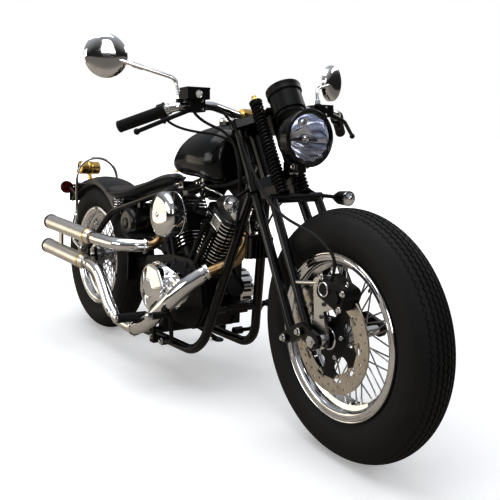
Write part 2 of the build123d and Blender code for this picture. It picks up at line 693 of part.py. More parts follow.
def tank_section(x, half, low, high, corner):
    """Cross section with a flat belly, round flanks and a crowned top, all tangent."""
    rise = high - low - 2 * corner
    flat = half - corner
    crown_radius = corner + (flat * flat + rise * rise) / (2 * rise)
    crown_z = high - crown_radius
    side_z = low + corner
    lift = math.atan2(side_z - crown_z, flat)
    join = (flat + corner * math.cos(lift), side_z + corner * math.sin(lift))
    bulge = math.radians(-90 + (math.degrees(lift) + 90) / 2)
    flank = (flat + corner * math.cos(bulge), side_z + corner * math.sin(bulge))
    plane = Plane.YZ.offset(x)
    with BuildSketch(plane) as section:
        with BuildLine():
            Line((-flat, low), (flat, low))
            ThreePointArc((flat, low), flank, join)
            ThreePointArc(join, (0, high), (-join[0], join[1]))
            ThreePointArc((-join[0], join[1]), (-flank[0], flank[1]), (-flat, low))
        make_face()
    return section.sketch


# x, half width, belly, top, flank radius
TANK_STATIONS = [
    (692, 40, 752, 800, 18), (740, 72, 746, 842, 34), (860, 116, 734, 894, 58),
    (980, 128, 722, 911, 68), (1050, 112, 722, 902, 64), (1072, 82, 752, 874, 44)]

with BuildPart() as fuel_tank:
    for station in TANK_STATIONS:
        add(tank_section(*station))
    loft()
    with BuildSketch(Plane.XY.offset(890)):
        with Locations((985, 0)):
            Circle(36)
    extrude(amount=32)
    with BuildSketch(Plane.XZ.offset(-SPINE_RADIUS)):
        with BuildLine():
            Polyline((660, 660), (1150, 660), (spine_line[0].X, spine_line[0].Z), (770, 697), (660, 666), close=True)
        make_face()
    extrude(amount=2 * SPINE_RADIUS, mode=Mode.SUBTRACT)
    add(frame_spine.part, mode=Mode.SUBTRACT)

SEAT_SIDE = [(655, 702), (655, 740), (640, 748), (560, 722), (430, 674), (330, 660), (250, 676), (226, 672),
             (230, 634), (330, 620), (440, 636), (560, 676)]
SEAT_PLAN = [(655, 38), (560, 66), (450, 112), (350, 132), (270, 128), (224, 96)]

with BuildPart() as seat:
    with BuildSketch(Plane.XZ.offset(-150)):
        with BuildLine():
            Polyline(*SEAT_SIDE, close=True)
        make_face()
    extrude(amount=300)
    with BuildSketch(Plane.XY.offset(560)):
        with BuildLine():
            Polyline(*(SEAT_PLAN + [(x, -y) for x, y in reversed(SEAT_PLAN)]), close=True)
        make_face()
    extrude(amount=250, mode=Mode.INTERSECT)

with BuildPart() as seat_springs:
    for side in (-1, 1):
        for k in range(4):
            low = Vector(300, side * 82, 586 + 8 * k)
            add(rod(low, low + Vector(0, 0, 8), 22 if k % 2 == 0 else 17))
        add(block((290, 310), (side * 82 - 10, side * 82 + 10), (572, 590)))
    add(block((636, 776), (-14, 14), (692, 703)))
    add(seat.part, mode=Mode.SUBTRACT)
    add(frame_stays.part, mode=Mode.SUBTRACT)
    add(frame_spine.part, mode=Mode.SUBTRACT)

# Rear fender, hoop and lamps

FENDER_START = 42.0
FENDER_SWEEP = 93.0
start = math.radians(FENDER_START)
fender_plane = Plane(origin=rear_axle_at, x_dir=lateral, z_dir=(math.sin(start), 0, -math.cos(start)))
w = FENDER_HALF_WIDTH
r = FENDER_RADIUS
with BuildPart() as rear_fender:
    with BuildSketch(fender_plane):
        with BuildLine():
            Line((-w, r - 34), (-w, r - 16))
            ThreePointArc((-w, r - 16), (0, r), (w, r - 16))
            Polyline((w, r - 16), (w, r - 34), (w - FENDER_SKIN, r - 34), (w - FENDER_SKIN, r - 18))
            ThreePointArc((w - FENDER_SKIN, r - 18), (0, r - FENDER_SKIN), (FENDER_SKIN - w, r - 18))
            Polyline((FENDER_SKIN - w, r - 18), (FENDER_SKIN - w, r - 34), (-w, r - 34))
        make_face()
    revolve(axis=Axis(rear_axle_at, (0, -1, 0)), revolution_arc=FENDER_SWEEP)
    add(frame_stays.part, mode=Mode.SUBTRACT)

HOOP_X = -122.0
HOOP_SPREAD = 100.0
HOOP_TOP = 785.0
hoop_right = [(4, -129, 374), (-92, -129, 404), (HOOP_X, -HOOP_SPREAD, 520), (HOOP_X, -HOOP_SPREAD, HOOP_TOP)]
with BuildPart() as fender_hoop:
    add(tube(hoop_right + list(reversed(swapped(hoop_right))), HOOP_RADIUS, [40, 60, 96, 96, 60, 40]))
    for side in (-1, 1):
        add(side_disc(HOOP_X, 664, 5, min(side * w, side * 100), max(side * w, side * 100)))
        add(block((-10, 16), (min(side * 123, side * 131), max(side * 123, side * 131)), (364, 384)))
    add(rear_fender.part, mode=Mode.SUBTRACT)

with BuildPart() as tail_lamp:
    add(side_disc(-224, 737, 30, -46, 46))
    add(rod((-224, 0, 737), (-196, 0, 640), 9))
    add(side_disc(0, TYRE_RADIUS, FENDER_RADIUS - 1, -30, 30), mode=Mode.SUBTRACT)
    add(rear_fender.part, mode=Mode.SUBTRACT)
    with BuildSketch(Plane.XZ.offset(-46)):
        with Locations((-224, 737)):
            Circle(24)
    extrude(amount=-4)

with BuildPart() as rear_reflectors:
    for side in (-1, 1):
        add(rod((-226, side * 112, 642), (-214, side * 112, 642), 27))
        add(tube([Vector(-216, side * 112, 642), Vector(-170, side * 112, 640), Vector(HOOP_X, side * 100, 606)],
                 5, 25))
    add(fender_hoop.part, mode=Mode.SUBTRACT)

PLATE_PCD = 80.0
with BuildPart() as plate_bracket:
    add(block((-320, -316), (-60, 60), (572, 652)))
    add(block((-318, -222), (-12, 12), (608, 622)))
    add(side_disc(0, TYRE_RADIUS, FENDER_RADIUS - 1, -30, 30), mode=Mode.SUBTRACT)
    add(rear_fender.part, mode=Mode.SUBTRACT)
    with BuildSketch(Plane.YZ.offset(-322)):
        with Locations((-PLATE_PCD / 2, 640), (PLATE_PCD / 2, 640)):
            Circle(3.2)
    extrude(amount=8, mode=Mode.SUBTRACT)

# Engine

CASE_SIDE = [(632, 214), (958, 214), (1010, 296), (990, 398), (930, 452), (770, 452), (690, 430), (600, 424),
             (572, 334), (596, 240)]
front_bank = Plane(origin=(CRANK_X, 0, CRANK_Z), x_dir=(math.cos(math.radians(FRONT_TILT)), 0,
                                                       -math.sin(math.radians(FRONT_TILT))),
                   z_dir=(math.sin(math.radians(FRONT_TILT)), 0, math.cos(math.radians(FRONT_TILT))))
rear_bank = Plane(origin=(CRANK_X, 0, CRANK_Z), x_dir=(math.cos(math.radians(REAR_TILT)), 0,
                                                      -math.sin(math.radians(REAR_TILT))),
                  z_dir=(math.sin(math.radians(REAR_TILT)), 0, math.cos(math.radians(REAR_TILT))))


def finned_bank(bank, port):
    """Finned barrel and head of one bank, with its exhaust port boss."""
    with BuildPart() as stack:
        with BuildSketch(bank.offset(DECK)):
            Circle(BARREL_RADIUS)
        extrude(amount=HEAD_TOP - DECK)
        count = int((HEAD_BASE - DECK) / FIN_PITCH)
        for i in range(count):
            with BuildSketch(bank.offset(DECK + 8 + i * FIN_PITCH)):
                RectangleRounded(138, 140, 44)
            extrude(amount=FIN_THICKNESS)
        with BuildSketch(bank.offset(HEAD_BASE)):
            RectangleRounded(128, 128, 34)
        extrude(amount=HEAD_TOP - HEAD_BASE)
        for i in range(4):
            with BuildSketch(bank.offset(HEAD_BASE + 4 + i * FIN_PITCH)):
                RectangleRounded(150, 146, 30)
            extrude(amount=FIN_THICKNESS)
        add(port)
    return stack.part


front_port = rod(front_bank.from_local_coords((60, 0, 318)), front_bank.from_local_coords((92, 0, 318)), 25)
rear_port = rod(rear_bank.from_local_coords((-60, -30, 312)), rear_bank.from_local_coords((-92, -30, 312)), 25)
with BuildPart() as cylinder_front:
    add(finned_bank(front_bank, front_port))
with BuildPart() as cylinder_rear:
    add(finned_bank(rear_bank, rear_port))

with BuildPart() as crankcase:
    with BuildSketch(Plane.XZ.offset(-CASE_HALF_WIDTH)) as side_view:
        with BuildLine():
            Polyline(*CASE_SIDE, close=True)
        make_face()
        fillet(side_view.vertices(), radius=22)
    extrude(amount=2 * CASE_HALF_WIDTH)
    for bank in (front_bank, rear_bank):
        with BuildSketch(bank.offset(60)):
            RectangleRounded(126, 126, 40)
        extrude(amount=DECK - 60)
    add(block((1000, 1072), (-40, 40), (286, 318)))
    add(block((632, 668), (-60, 60), (140, 220)))
    add(rod((985, 0, 352), (1052, 0, 376), 36))
    add(block((540, 704), (66, 120), (246, 414)), mode=Mode.SUBTRACT)
    add(block((945, 1020), (55, 120), (200, 470)), mode=Mode.SUBTRACT)
    add(side_disc(DRIVE_X, TYRE_RADIUS - 10, DRIVE_SPROCKET_RADIUS, CHAIN_LINE - 20, CHAIN_LINE + 4))
    add(frame_cradle.part, mode=Mode.SUBTRACT)
    add(cylinder_front.part, mode=Mode.SUBTRACT)
    add(cylinder_rear.part, mode=Mode.SUBTRACT)

with BuildPart() as rocker_covers:
    for bank in (front_bank, rear_bank):
        with BuildSketch(bank.offset(HEAD_TOP)):
            RectangleRounded(118, 86, 24)
        extrude(amount=26)
        with BuildSketch(bank.offset(HEAD_TOP + 26)):
            RectangleRounded(96, 68, 20)
        extrude(amount=10)

with BuildPart() as carburettor:
    add(side_disc(AIR_CLEANER_X, AIR_CLEANER_Z, 28, -128, -40))
    add(block((AIR_CLEANER_X - 30, AIR_CLEANER_X + 30), (-96, -44), (548, 596)))
    add(rod((775, -20, AIR_CLEANER_Z), (925, -20, AIR_CLEANER_Z), 22))
    add(side_disc(AIR_CLEANER_X, AIR_CLEANER_Z, 24, -44, -14))
    add(cylinder_front.part, mode=Mode.SUBTRACT)
    add(cylinder_rear.part, mode=Mode.SUBTRACT)
    add(rocker_covers.part, mode=Mode.SUBTRACT)

with BuildPart() as air_cleaner:
    with BuildSketch(Plane.XZ.offset(128)):
        with Locations((AIR_CLEANER_X, AIR_CLEANER_Z)):
            Circle(AIR_CLEANER_RADIUS)
    extrude(amount=50)
    with BuildSketch(Plane.XZ.offset(178)):
        with Locations((AIR_CLEANER_X, AIR_CLEANER_Z)):
            Circle(AIR_CLEANER_RADIUS)
    with BuildSketch(Plane.XZ.offset(198)):
        with Locations((AIR_CLEANER_X, AIR_CLEANER_Z)):
            Circle(AIR_CLEANER_RADIUS - 26)
    loft()

with BuildPart() as clutch_cover:
    with BuildSketch(Plane.XZ.offset(CASE_HALF_WIDTH)):
        with Locations((793, 336)):
            Circle(94)
        with Locations((900, 344)):
            Circle(64)
        make_hull()
    extrude(amount=52)
    with BuildSketch(Plane.XZ.offset(CASE_HALF_WIDTH + 52)):
        with Locations((793, 336)):
            Circle(86)
    extrude(amount=28)

with BuildPart() as generator_cover:
    with BuildSketch(Plane.XZ.offset(-CASE_HALF_WIDTH - 46)):
        with Locations((GENERATOR_X, CRANK_Z)):
            Circle(72)
        with Locations((760, CRANK_Z)):
            Circle(58)
        make_hull()
    extrude(amount=46)
    with BuildSketch(Plane.XZ.offset(-CASE_HALF_WIDTH - 60)):
        with Locations((GENERATOR_X, CRANK_Z)):
            Circle(70)
            Circle(52, mode=Mode.SUBTRACT)
            with PolarLocations(70, 16):
                Rectangle(14, 9, mode=Mode.SUBTRACT)
    extrude(amount=14)

# Exhaust

front_pipe = [front_bank.from_local_coords((92, 0, 318)), Vector(1118, -2, 530), Vector(1066, -16, 462),
              Vector(1030, -120, 416), Vector(980, -184, 348), Vector(870, -213, 244), Vector(735, -214, 176),
              Vector(590, -216, 182), Vector(500, -222, 258), Vector(424, -226, 352), Vector(300, -228, 361)]
rear_pipe = [rear_bank.from_local_coords((-92, -30, 312)), rear_bank.from_local_coords((-114, -30, 312)),
             Vector(612, -64, 462), Vector(566, -196, 460), Vector(330, -222, 467)]

with BuildPart() as exhaust_front:
    add(tube(front_pipe, PIPE_RADIUS - 1, [18, 30, 34, 50, 120, 70, 60, 60, 50]))
    add(cylinder_front.part, mode=Mode.SUBTRACT)

with BuildPart() as exhaust_rear:
    add(tube(rear_pipe, PIPE_RADIUS - 1, [24, 40, 80]))
    add(cylinder_rear.part, mode=Mode.SUBTRACT)


def silencer(front, back):
    """Drum with a coned front and an open, turned-in outlet."""
    front = Vector(*front)
    span = Vector(*back) - front
    length = span.length
    radial = span.cross(lateral).normalized()
    with BuildPart() as drum:
        with BuildSketch(Plane(origin=front, x_dir=radial, z_dir=radial.cross(span))):
            with BuildLine():
                Polyline((0, 0), (PIPE_RADIUS + 4, 0), (SILENCER_RADIUS, 24), (SILENCER_RADIUS, length - 6),
                         (SILENCER_RADIUS - 5, length), (OUTLET_RADIUS, length), (OUTLET_RADIUS, length - 45),
                         (0, length - 45), close=True)
            make_face()
        revolve(axis=Axis(front, span))
    return drum.part


with BuildPart() as silencers:
    for front, back in (((352, -220.5, 467), (-14, -262, 499)), ((312, -228, 360), (-46, -262, 389))):
        add(silencer(front, back))
    add(block((62, 96), (-252, -243), (372, 492)))
    add(block((52, 68), (-250, -123), (348, 364)))
    add(block((52, 68), (-250, -241), (348, 400)))
    add(exhaust_front.part, mode=Mode.SUBTRACT)
    add(exhaust_rear.part, mode=Mode.SUBTRACT)
    add(frame_cradle.part, mode=Mode.SUBTRACT)

with BuildPart() as oil_tank:
    with BuildSketch(Plane.XZ.offset(-140)):
        with Locations((489, 536)):
            Circle(62)
    extrude(amount=280)
    fillet(oil_tank.edges().filter_by(GeomType.CIRCLE), radius=20)
    for side in (-1, 1):
        add(block((480, 500), (side * 76 - 8, side * 76 + 8), (590, 628)))
    add(frame_stays.part, mode=Mode.SUBTRACT)

# Fittings on the frame

HORN_X = 1136.0
HORN_Z = 604.0
REGULATOR_TOP = 560.0
with BuildPart() as horn:
    add(side_disc(HORN_X, HORN_Z, 38, -8, 10))
    add(side_disc(HORN_X, HORN_Z, 25, 10, 24))
    add(block((HORN_X - 4, HORN_TUBE_X), (10, 13), (HORN_Z, HORN_TUBE_Z)))
    add(frame_cradle.part, mode=Mode.SUBTRACT)

with BuildPart() as regulator:
    add(block((1142, 1176), (-48, 48), (REGULATOR_TOP - 4, REGULATOR_TOP)))
    for side in (-1, 1):
        add(block((1122, 1146), (side * 41 - 7, side * 41 + 7), (REGULATOR_TOP - 4, REGULATOR_TOP)))
    add(block((1160, 1172), (-46, 46), (486, REGULATOR_TOP - 4)))
    for k in range(6):
        add(block((1170, 1190), (-43 + 16 * k, -37 + 16 * k), (488, 554)))
    add(frame_cradle.part, mode=Mode.SUBTRACT)

CABLE_RADIUS = 3.5
# Bar ends first, in the straight-ahead pose, then the fixed end on a downtube
throttle_line = [(1141, -317, 918), (1161, -301, 886), (1196, -122, 868), (1236, -118, 780)]
throttle_end = [(1216, -110, 702), (1150, -64, 640), (1124, -56, 560)]
loom_line = [(1170, -240, 938), (1178, -226, 912), (1206, -132, 874), (1246, -129, 778)]
loom_end = [(1226, -122, 694), (1158, -76, 626), (1118, -60, 530)]
clutch_line = [(1176, 188, 958), (1192, 150, 944), (1206, 114, 880), (1240, 118, 780)]
with BuildPart() as control_cables:
    for moving, fixed in ((throttle_line, throttle_end), (loom_line, loom_end),
                          (clutch_line, swapped(throttle_end))):
        turned = [tuple(Vertex(*p).rotate(steering_axis, STEER_AT_REST)) for p in moving]
        add(cable(turned + fixed, CABLE_RADIUS))
    for part in (grips, brake_master, clutch_perch, handlebar):
        add(part.part.rotate(steering_axis, STEER_AT_REST), mode=Mode.SUBTRACT)
    add(frame_cradle.part, mode=Mode.SUBTRACT)


def foot_controls(side, pedal):
    """Peg, pedal and their bracket on one frame rail."""
    with BuildPart() as group:
        def across(x, z, radius, inner, outer):
            add(side_disc(x, z, radius, min(side * inner, side * outer), max(side * inner, side * outer)))
        add(block((746, 774), (min(side * 134, side * 158), max(side * 134, side * 158)), (128, 152)))
        add(block((746, 774), (min(side * 148, side * 158), max(side * 148, side * 158)), (128, 240)))
        across(760, 230, 9, 150, 180)
        across(760, 230, 12, 180, 296)
        across(760, 230, 14, 296, 306)
        across(860, 158, 14, 136, 172)
        add(tube([Vector(x, side * y, z) for x, y, z in pedal], 7, [25, 20]))
        across(pedal[-1][0], pedal[-1][2], 10, pedal[-1][1] - 8, pedal[-1][1] + 76)
        add(frame_cradle.part, mode=Mode.SUBTRACT)
    return group.part


with BuildPart() as foot_controls_right:
    add(foot_controls(-1, [(860, 165, 158), (925, 168, 172), (952, 190, 268), (955, 206, 278)]))
with BuildPart() as foot_controls_left:
    add(foot_controls(1, [(860, 165, 158), (930, 168, 180), (952, 190, 268), (955, 206, 278)]))

# Final drive chain, one fixed loop of links

CHAIN_PITCH = 15.875
CHAIN_HIGH = 7.0
CHAIN_WAIST = 4.6
big = SPROCKET_RADIUS + CHAIN_HIGH + 0.8
small = DRIVE_SPROCKET_RADIUS + CHAIN_HIGH + 0.8
run = Vector(DRIVE_X, 0, TYRE_RADIUS - 10) - rear_axle_at
tilt = math.atan2(run.Z, run.X)
open_angle = math.acos((big - small) / math.hypot(run.X, run.Z))


def chain_point(distance, lift):
    """Point on the loop, lift outside its centre line."""
    span = math.sqrt(run.X ** 2 + run.Z ** 2 - (big - small) ** 2)
    top = tilt + open_angle
    low = tilt - open_angle
    small_arc = small * 2 * open_angle
    big_arc = big * (2 * math.pi - 2 * open_angle)
    distance = distance % (2 * span + small_arc + big_arc)
    along = Vector(math.sin(top), 0, -math.cos(top))
    if distance < span:
        return rear_axle_at + Vector(math.cos(top), 0, math.sin(top)) * (big + lift) + along * distance
    distance -= span
    if distance < small_arc:
        turn = top - distance / small
        return rear_axle_at + run + Vector(math.cos(turn), 0, math.sin(turn)) * (small + lift)
    distance -= small_arc
    if distance < span:
        back = Vector(math.sin(low), 0, -math.cos(low))
        return rear_axle_at + run + Vector(math.cos(low), 0, math.sin(low)) * (small + lift) + back * distance
    distance -= span
    turn = low - distance / big
    return rear_axle_at + Vector(math.cos(turn), 0, math.sin(turn)) * (big + lift)


chain_length = 2 * math.sqrt(run.X ** 2 + run.Z ** 2 - (big - small) ** 2)
chain_length += small * 2 * open_angle + big * (2 * math.pi - 2 * open_angle)
links = 2 * round(chain_length / CHAIN_PITCH / 2)
step = chain_length / (2 * links)


def chain_outline(sign):
    lifts = [sign * (CHAIN_HIGH if k % 2 == 0 else CHAIN_WAIST) for k in range(2 * links)]
    points = [chain_point(k * step, lift) for k, lift in enumerate(lifts)]
    return [(p.X, p.Z) for p in points]


with BuildPart() as drive_chain:
    with BuildSketch(Plane.XZ.offset(-CHAIN_LINE - 7)):
        with BuildLine():
            Polyline(*chain_outline(1), close=True)
        make_face()
        with BuildLine():
            Polyline(*chain_outline(-1), close=True)
        make_face(mode=Mode.SUBTRACT)
    extrude(amount=14)

# Side stand

stand_pivot = Vector(*STAND_PIVOT)
foot_z = crown - (crown - STAND_FOOT[1] * math.sin(lean)) / math.cos(lean)
stand_foot = Vector(STAND_FOOT[0], STAND_FOOT[1], foot_z)
out_way = (stand_foot - stand_pivot).normalized()
stow_way = Vector(*STAND_STOWED).normalized()
stand_axis = out_way.cross(stow_way).normalized()

with BuildPart() as side_stand:
    eye = Plane(origin=stand_pivot, z_dir=stand_axis)
    floor = Plane(origin=stand_foot, x_dir=(1, 0, 0), z_dir=(0, -math.sin(lean), math.cos(lean)))
    add(rod(stand_pivot + out_way * 8, stand_foot + Vector(0, -4, 6) - out_way * 4, STAND_RADIUS))
    add(rod(stand_pivot - stand_axis * 6, stand_pivot + stand_axis * 6, 15))
    with BuildSketch(floor):
        SlotOverall(64, 36)
    extrude(amount=6)
    for way in (-1, 1):
        add(rod(stand_pivot + stand_axis * way * 6, stand_pivot + stand_axis * way * 20, 18), mode=Mode.SUBTRACT)
    with BuildSketch(eye.offset(-10)):
        Circle(7 + RUN_GAP)
    extrude(amount=20, mode=Mode.SUBTRACT)
    with BuildSketch(floor.offset(-40)):
        Rectangle(200, 200)
    extrude(amount=40, mode=Mode.SUBTRACT)

with BuildPart() as stand_bracket:
    add(rod(stand_pivot - stand_axis * 10, stand_pivot + stand_axis * 10, 7))
    add(rod(stand_pivot + stand_axis * 6.5, stand_pivot + stand_axis * 26, 14))
    add(rod(stand_pivot - stand_axis * 13, stand_pivot - stand_axis * 6.5, 12))
    add(rod(stand_pivot + stand_axis * 18, Vector(STAND_PIVOT[0] + 12, 121.5, 152), 7))
    add(frame_cradle.part, mode=Mode.SUBTRACT)

for part, label in (
        (frame_spine, "frame_spine"), (frame_stays, "frame_stays"), (frame_cradle, "frame_cradle"),
        (rear_axle, "rear_axle"), (fuel_tank, "fuel_tank"), (seat, "seat"), (seat_springs, "seat_springs"),
        (rear_fender, "rear_fender"), (fender_hoop, "fender_hoop"), (tail_lamp, "tail_lamp"),
        (rear_reflectors, "rear_reflectors"), (plate_bracket, "plate_bracket"), (crankcase, "crankcase"),
        (cylinder_front, "cylinder_front"), (cylinder_rear, "cylinder_rear"), (rocker_covers, "rocker_covers"),
        (carburettor, "carburettor"), (air_cleaner, "air_cleaner"), (clutch_cover, "clutch_cover"),
        (generator_cover, "generator_cover"), (exhaust_front, "exhaust_front"), (exhaust_rear, "exhaust_rear"),
        (silencers, "silencers"), (oil_tank, "oil_tank"), (horn, "horn"), (regulator, "regulator"),
        (control_cables, "control_cables"),
        (foot_controls_right, "foot_controls_right"), (foot_controls_left, "foot_controls_left"),
        (drive_chain, "drive_chain"), (side_stand, "side_stand"), (stand_bracket, "stand_bracket")):
    save(part.part, label)
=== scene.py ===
# %% [markdown]
# # A parked bobber with a spring fork
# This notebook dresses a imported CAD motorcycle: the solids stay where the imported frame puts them,
# and Blender adds finishes and the details that a picture shows. Every piece rides on one of the
# five bodies, so that a wheel, the fork or the stand takes its own details along when it turns.

# %% Load the frame
import math
import bpy
import bmesh
from mathutils import Matrix, Vector


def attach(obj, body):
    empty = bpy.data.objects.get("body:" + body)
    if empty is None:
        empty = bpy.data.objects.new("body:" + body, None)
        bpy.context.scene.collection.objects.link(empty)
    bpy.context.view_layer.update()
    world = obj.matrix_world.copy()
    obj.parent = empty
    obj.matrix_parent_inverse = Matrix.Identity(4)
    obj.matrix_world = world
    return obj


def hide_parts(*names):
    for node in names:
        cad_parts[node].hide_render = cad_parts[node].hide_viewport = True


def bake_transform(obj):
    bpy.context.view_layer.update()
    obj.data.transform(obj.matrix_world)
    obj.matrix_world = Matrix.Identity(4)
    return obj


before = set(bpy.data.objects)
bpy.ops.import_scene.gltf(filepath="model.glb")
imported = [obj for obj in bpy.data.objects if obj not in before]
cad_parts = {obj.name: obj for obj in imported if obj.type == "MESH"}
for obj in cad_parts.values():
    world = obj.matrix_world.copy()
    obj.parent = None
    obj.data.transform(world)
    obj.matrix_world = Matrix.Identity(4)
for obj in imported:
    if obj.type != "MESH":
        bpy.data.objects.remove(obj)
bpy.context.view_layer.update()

# %% [markdown]
# ## Two placements
# On the drawing board the machine stands upright, in millimetres, with the rear axle at x = 0.
# Parked, it leans on its stand, and the fork is turned a little. Two matrices carry drawing-board
# points into the frame, so that each detail below can be written with plain upright numbers.

# %% Placements
WHEELBASE = 1600.0
WHEEL_RADIUS = 340.0
TREAD_HALF = 66.0
LEAN = math.radians(5)
FORK_TURN = math.radians(-5)
RAKE = math.radians(30)
SIDE_SHIFT = -36.95
STEM_AHEAD = -12
STEERED_BODIES = ("steering", "front_wheel")
millimetres = Matrix.Scale(0.001, 4)
parked = (Matrix.Translation((-WHEELBASE / 2000, SIDE_SHIFT / 1000, TREAD_HALF / 1000))
          @ Matrix.Rotation(-LEAN, 4, "X") @ Matrix.Translation((0, 0, -TREAD_HALF / 1000))
          @ millimetres)
onward = Vector((1, 0, 0))
across = Vector((0, 1, 0))
upward = Vector((0, 0, 1))
fork_up = Vector((-math.sin(RAKE), 0, math.cos(RAKE)))
fork_ahead = Vector((math.cos(RAKE), 0, math.sin(RAKE)))
front_axle = Vector((WHEELBASE, 0, WHEEL_RADIUS))
rear_axle = Vector((0, 0, WHEEL_RADIUS))
rocker_pivot = front_axle - fork_ahead * 118 + fork_up * 44


def on_fork(ahead, left, along):
    """A point counted along the fork from its rocker pivot."""
    return rocker_pivot + fork_ahead * ahead + across * left + fork_up * along


stem = on_fork(STEM_AHEAD, 0, 0)
turned = (parked @ Matrix.Translation(stem) @ Matrix.Rotation(FORK_TURN, 4, fork_up)
          @ Matrix.Translation(-stem))
print("front axle at", [round(v, 3) for v in turned @ front_axle])

# %% [markdown]
# ## The camera
# The picture looks at the front right corner from a little above the front wheel. The lens, the
# distance and the small roll were worked out from the two wheels' ellipses and the bar, for a
# square picture.

# %% Camera
AZIMUTH, ELEVATION, DISTANCE, ROLL = -0.6261094, 0.1814157, 1.9466687, -0.0296520
FOCAL, PICTURE, SENSOR = 639.543, 500, 36
aim = Vector((1.2303692 - WHEELBASE / 2000, -0.0376411 + SIDE_SHIFT / 1000, 0.5287829))
back = Vector((math.cos(ELEVATION) * math.cos(AZIMUTH), math.cos(ELEVATION) * math.sin(AZIMUTH),
               math.sin(ELEVATION)))
right = (-back).cross(upward).normalized()
up = right.cross(-back)
tilted_right = right * math.cos(ROLL) + up * math.sin(ROLL)
tilted_up = up * math.cos(ROLL) - right * math.sin(ROLL)
scene = bpy.context.scene
camera = bpy.data.objects.new("camera", bpy.data.cameras.new("camera"))
scene.collection.objects.link(camera)
camera.matrix_world = Matrix.Translation(aim + back * DISTANCE) @ Matrix(
    (tilted_right, tilted_up, back)).transposed().to_4x4()
camera.data.sensor_width = SENSOR
camera.data.lens = SENSOR * FOCAL / PICTURE
scene.camera = camera
print("camera at", [round(v, 3) for v in camera.location])

# %% [markdown]
# ## The studio
# Chrome shows the room more than itself. A white room makes it look like plaster, so the sky goes
# from a bright ceiling to a dim belt at eye level, while the camera itself sees plain white. Four
# soft boxes give the paint its long highlights, a warm wall stands where the covers look, and the
# floor bounces light up under the engine.

# %% Studio
scene.view_settings.view_transform = "Standard"
scene.view_settings.gamma = 0.8
world = bpy.data.worlds.new("studio")
scene.world = world
world.use_nodes = True
sky = world.node_tree
sky.nodes.clear()
direction, split, belt, ray, room, plain, choose, result = (
    sky.nodes.new("ShaderNode" + kind)
    for kind in ("TexCoord", "SeparateXYZ", "ValToRGB", "LightPath", "Background", "Background",
                 "MixShader", "OutputWorld"))
tones = belt.color_ramp.elements
tones[0].color = (0.03, 0.028, 0.026, 1)
tones[1].color = (0.66, 0.70, 0.76, 1)
for place, tone in ((0.10, 0.045), (0.20, 0.17), (0.45, 0.36)):
    tones.new(place).color = (tone, tone, tone * 1.03, 1)
plain.inputs[0].default_value = (1, 1, 1, 1)
for tail, head in (
        (direction.outputs["Generated"], split.inputs[0]), (split.outputs[2], belt.inputs[0]),
        (belt.outputs[0], room.inputs[0]), (ray.outputs["Is Camera Ray"], choose.inputs[0]),
        (room.outputs[0], choose.inputs[1]), (plain.outputs[0], choose.inputs[2]),
        (choose.outputs[0], result.inputs[0])):
    sky.links.new(tail, head)


def soft_box(name, at, towards, width, height, watts, colour=(1, 1, 1)):
    lamp = bpy.data.lights.new(name, "AREA")
    lamp.shape = "RECTANGLE"
    lamp.size = width
    lamp.size_y = height
    lamp.energy = watts
    lamp.color = colour
    holder = bpy.data.objects.new(name, lamp)
    scene.collection.objects.link(holder)
    holder.location = at
    holder.rotation_euler = (Vector(towards) - Vector(at)).to_track_quat("-Z", "Y").to_euler()


soft_box("ceiling_box", (0.1, -0.6, 3.6), (0.1, -0.1, 0.4), 3.6, 2.4, 62)
soft_box("front_box", (3.6, -1.3, 1.9), (0.2, 0, 0.5), 0.7, 1.5, 16)
soft_box("side_box", (-0.6, -3.6, 1.7), (0.0, 0, 0.5), 2.6, 1.2, 34)
soft_box("far_box", (0.4, 3.4, 2.4), (0.0, 0, 0.6), 3.0, 1.0, 26)
soft_box("warm_wall", (-3.6, -3.0, 0.9), (0.0, -0.2, 0.5), 3.4, 1.7, 26, (1, 0.9, 0.74))
print("five soft boxes")

# %% [markdown]
# ## Shader arithmetic
# A finish is never one flat number: paint has smears, castings have grain, rubber has dust. Node
# graphs for that are easier to read as sums, so one small class lets a socket take part in Python
# arithmetic and adds the Math nodes behind the scenes.

# %% Socket class and finish class


class Value:
    """A number that varies over a surface; arithmetic on it adds Math nodes."""

    def __init__(self, finish, socket):
        self.finish = finish
        self.socket = socket

    def combine(self, operation, first, second):
        return self.finish.node("Math", {"operation": operation}, {0: first, 1: second})

    def __add__(self, other):
        return self.combine("ADD", self, other)

    def __rsub__(self, other):
        return self.combine("SUBTRACT", other, self)

    def __mul__(self, other):
        return self.combine("MULTIPLY", self, other)


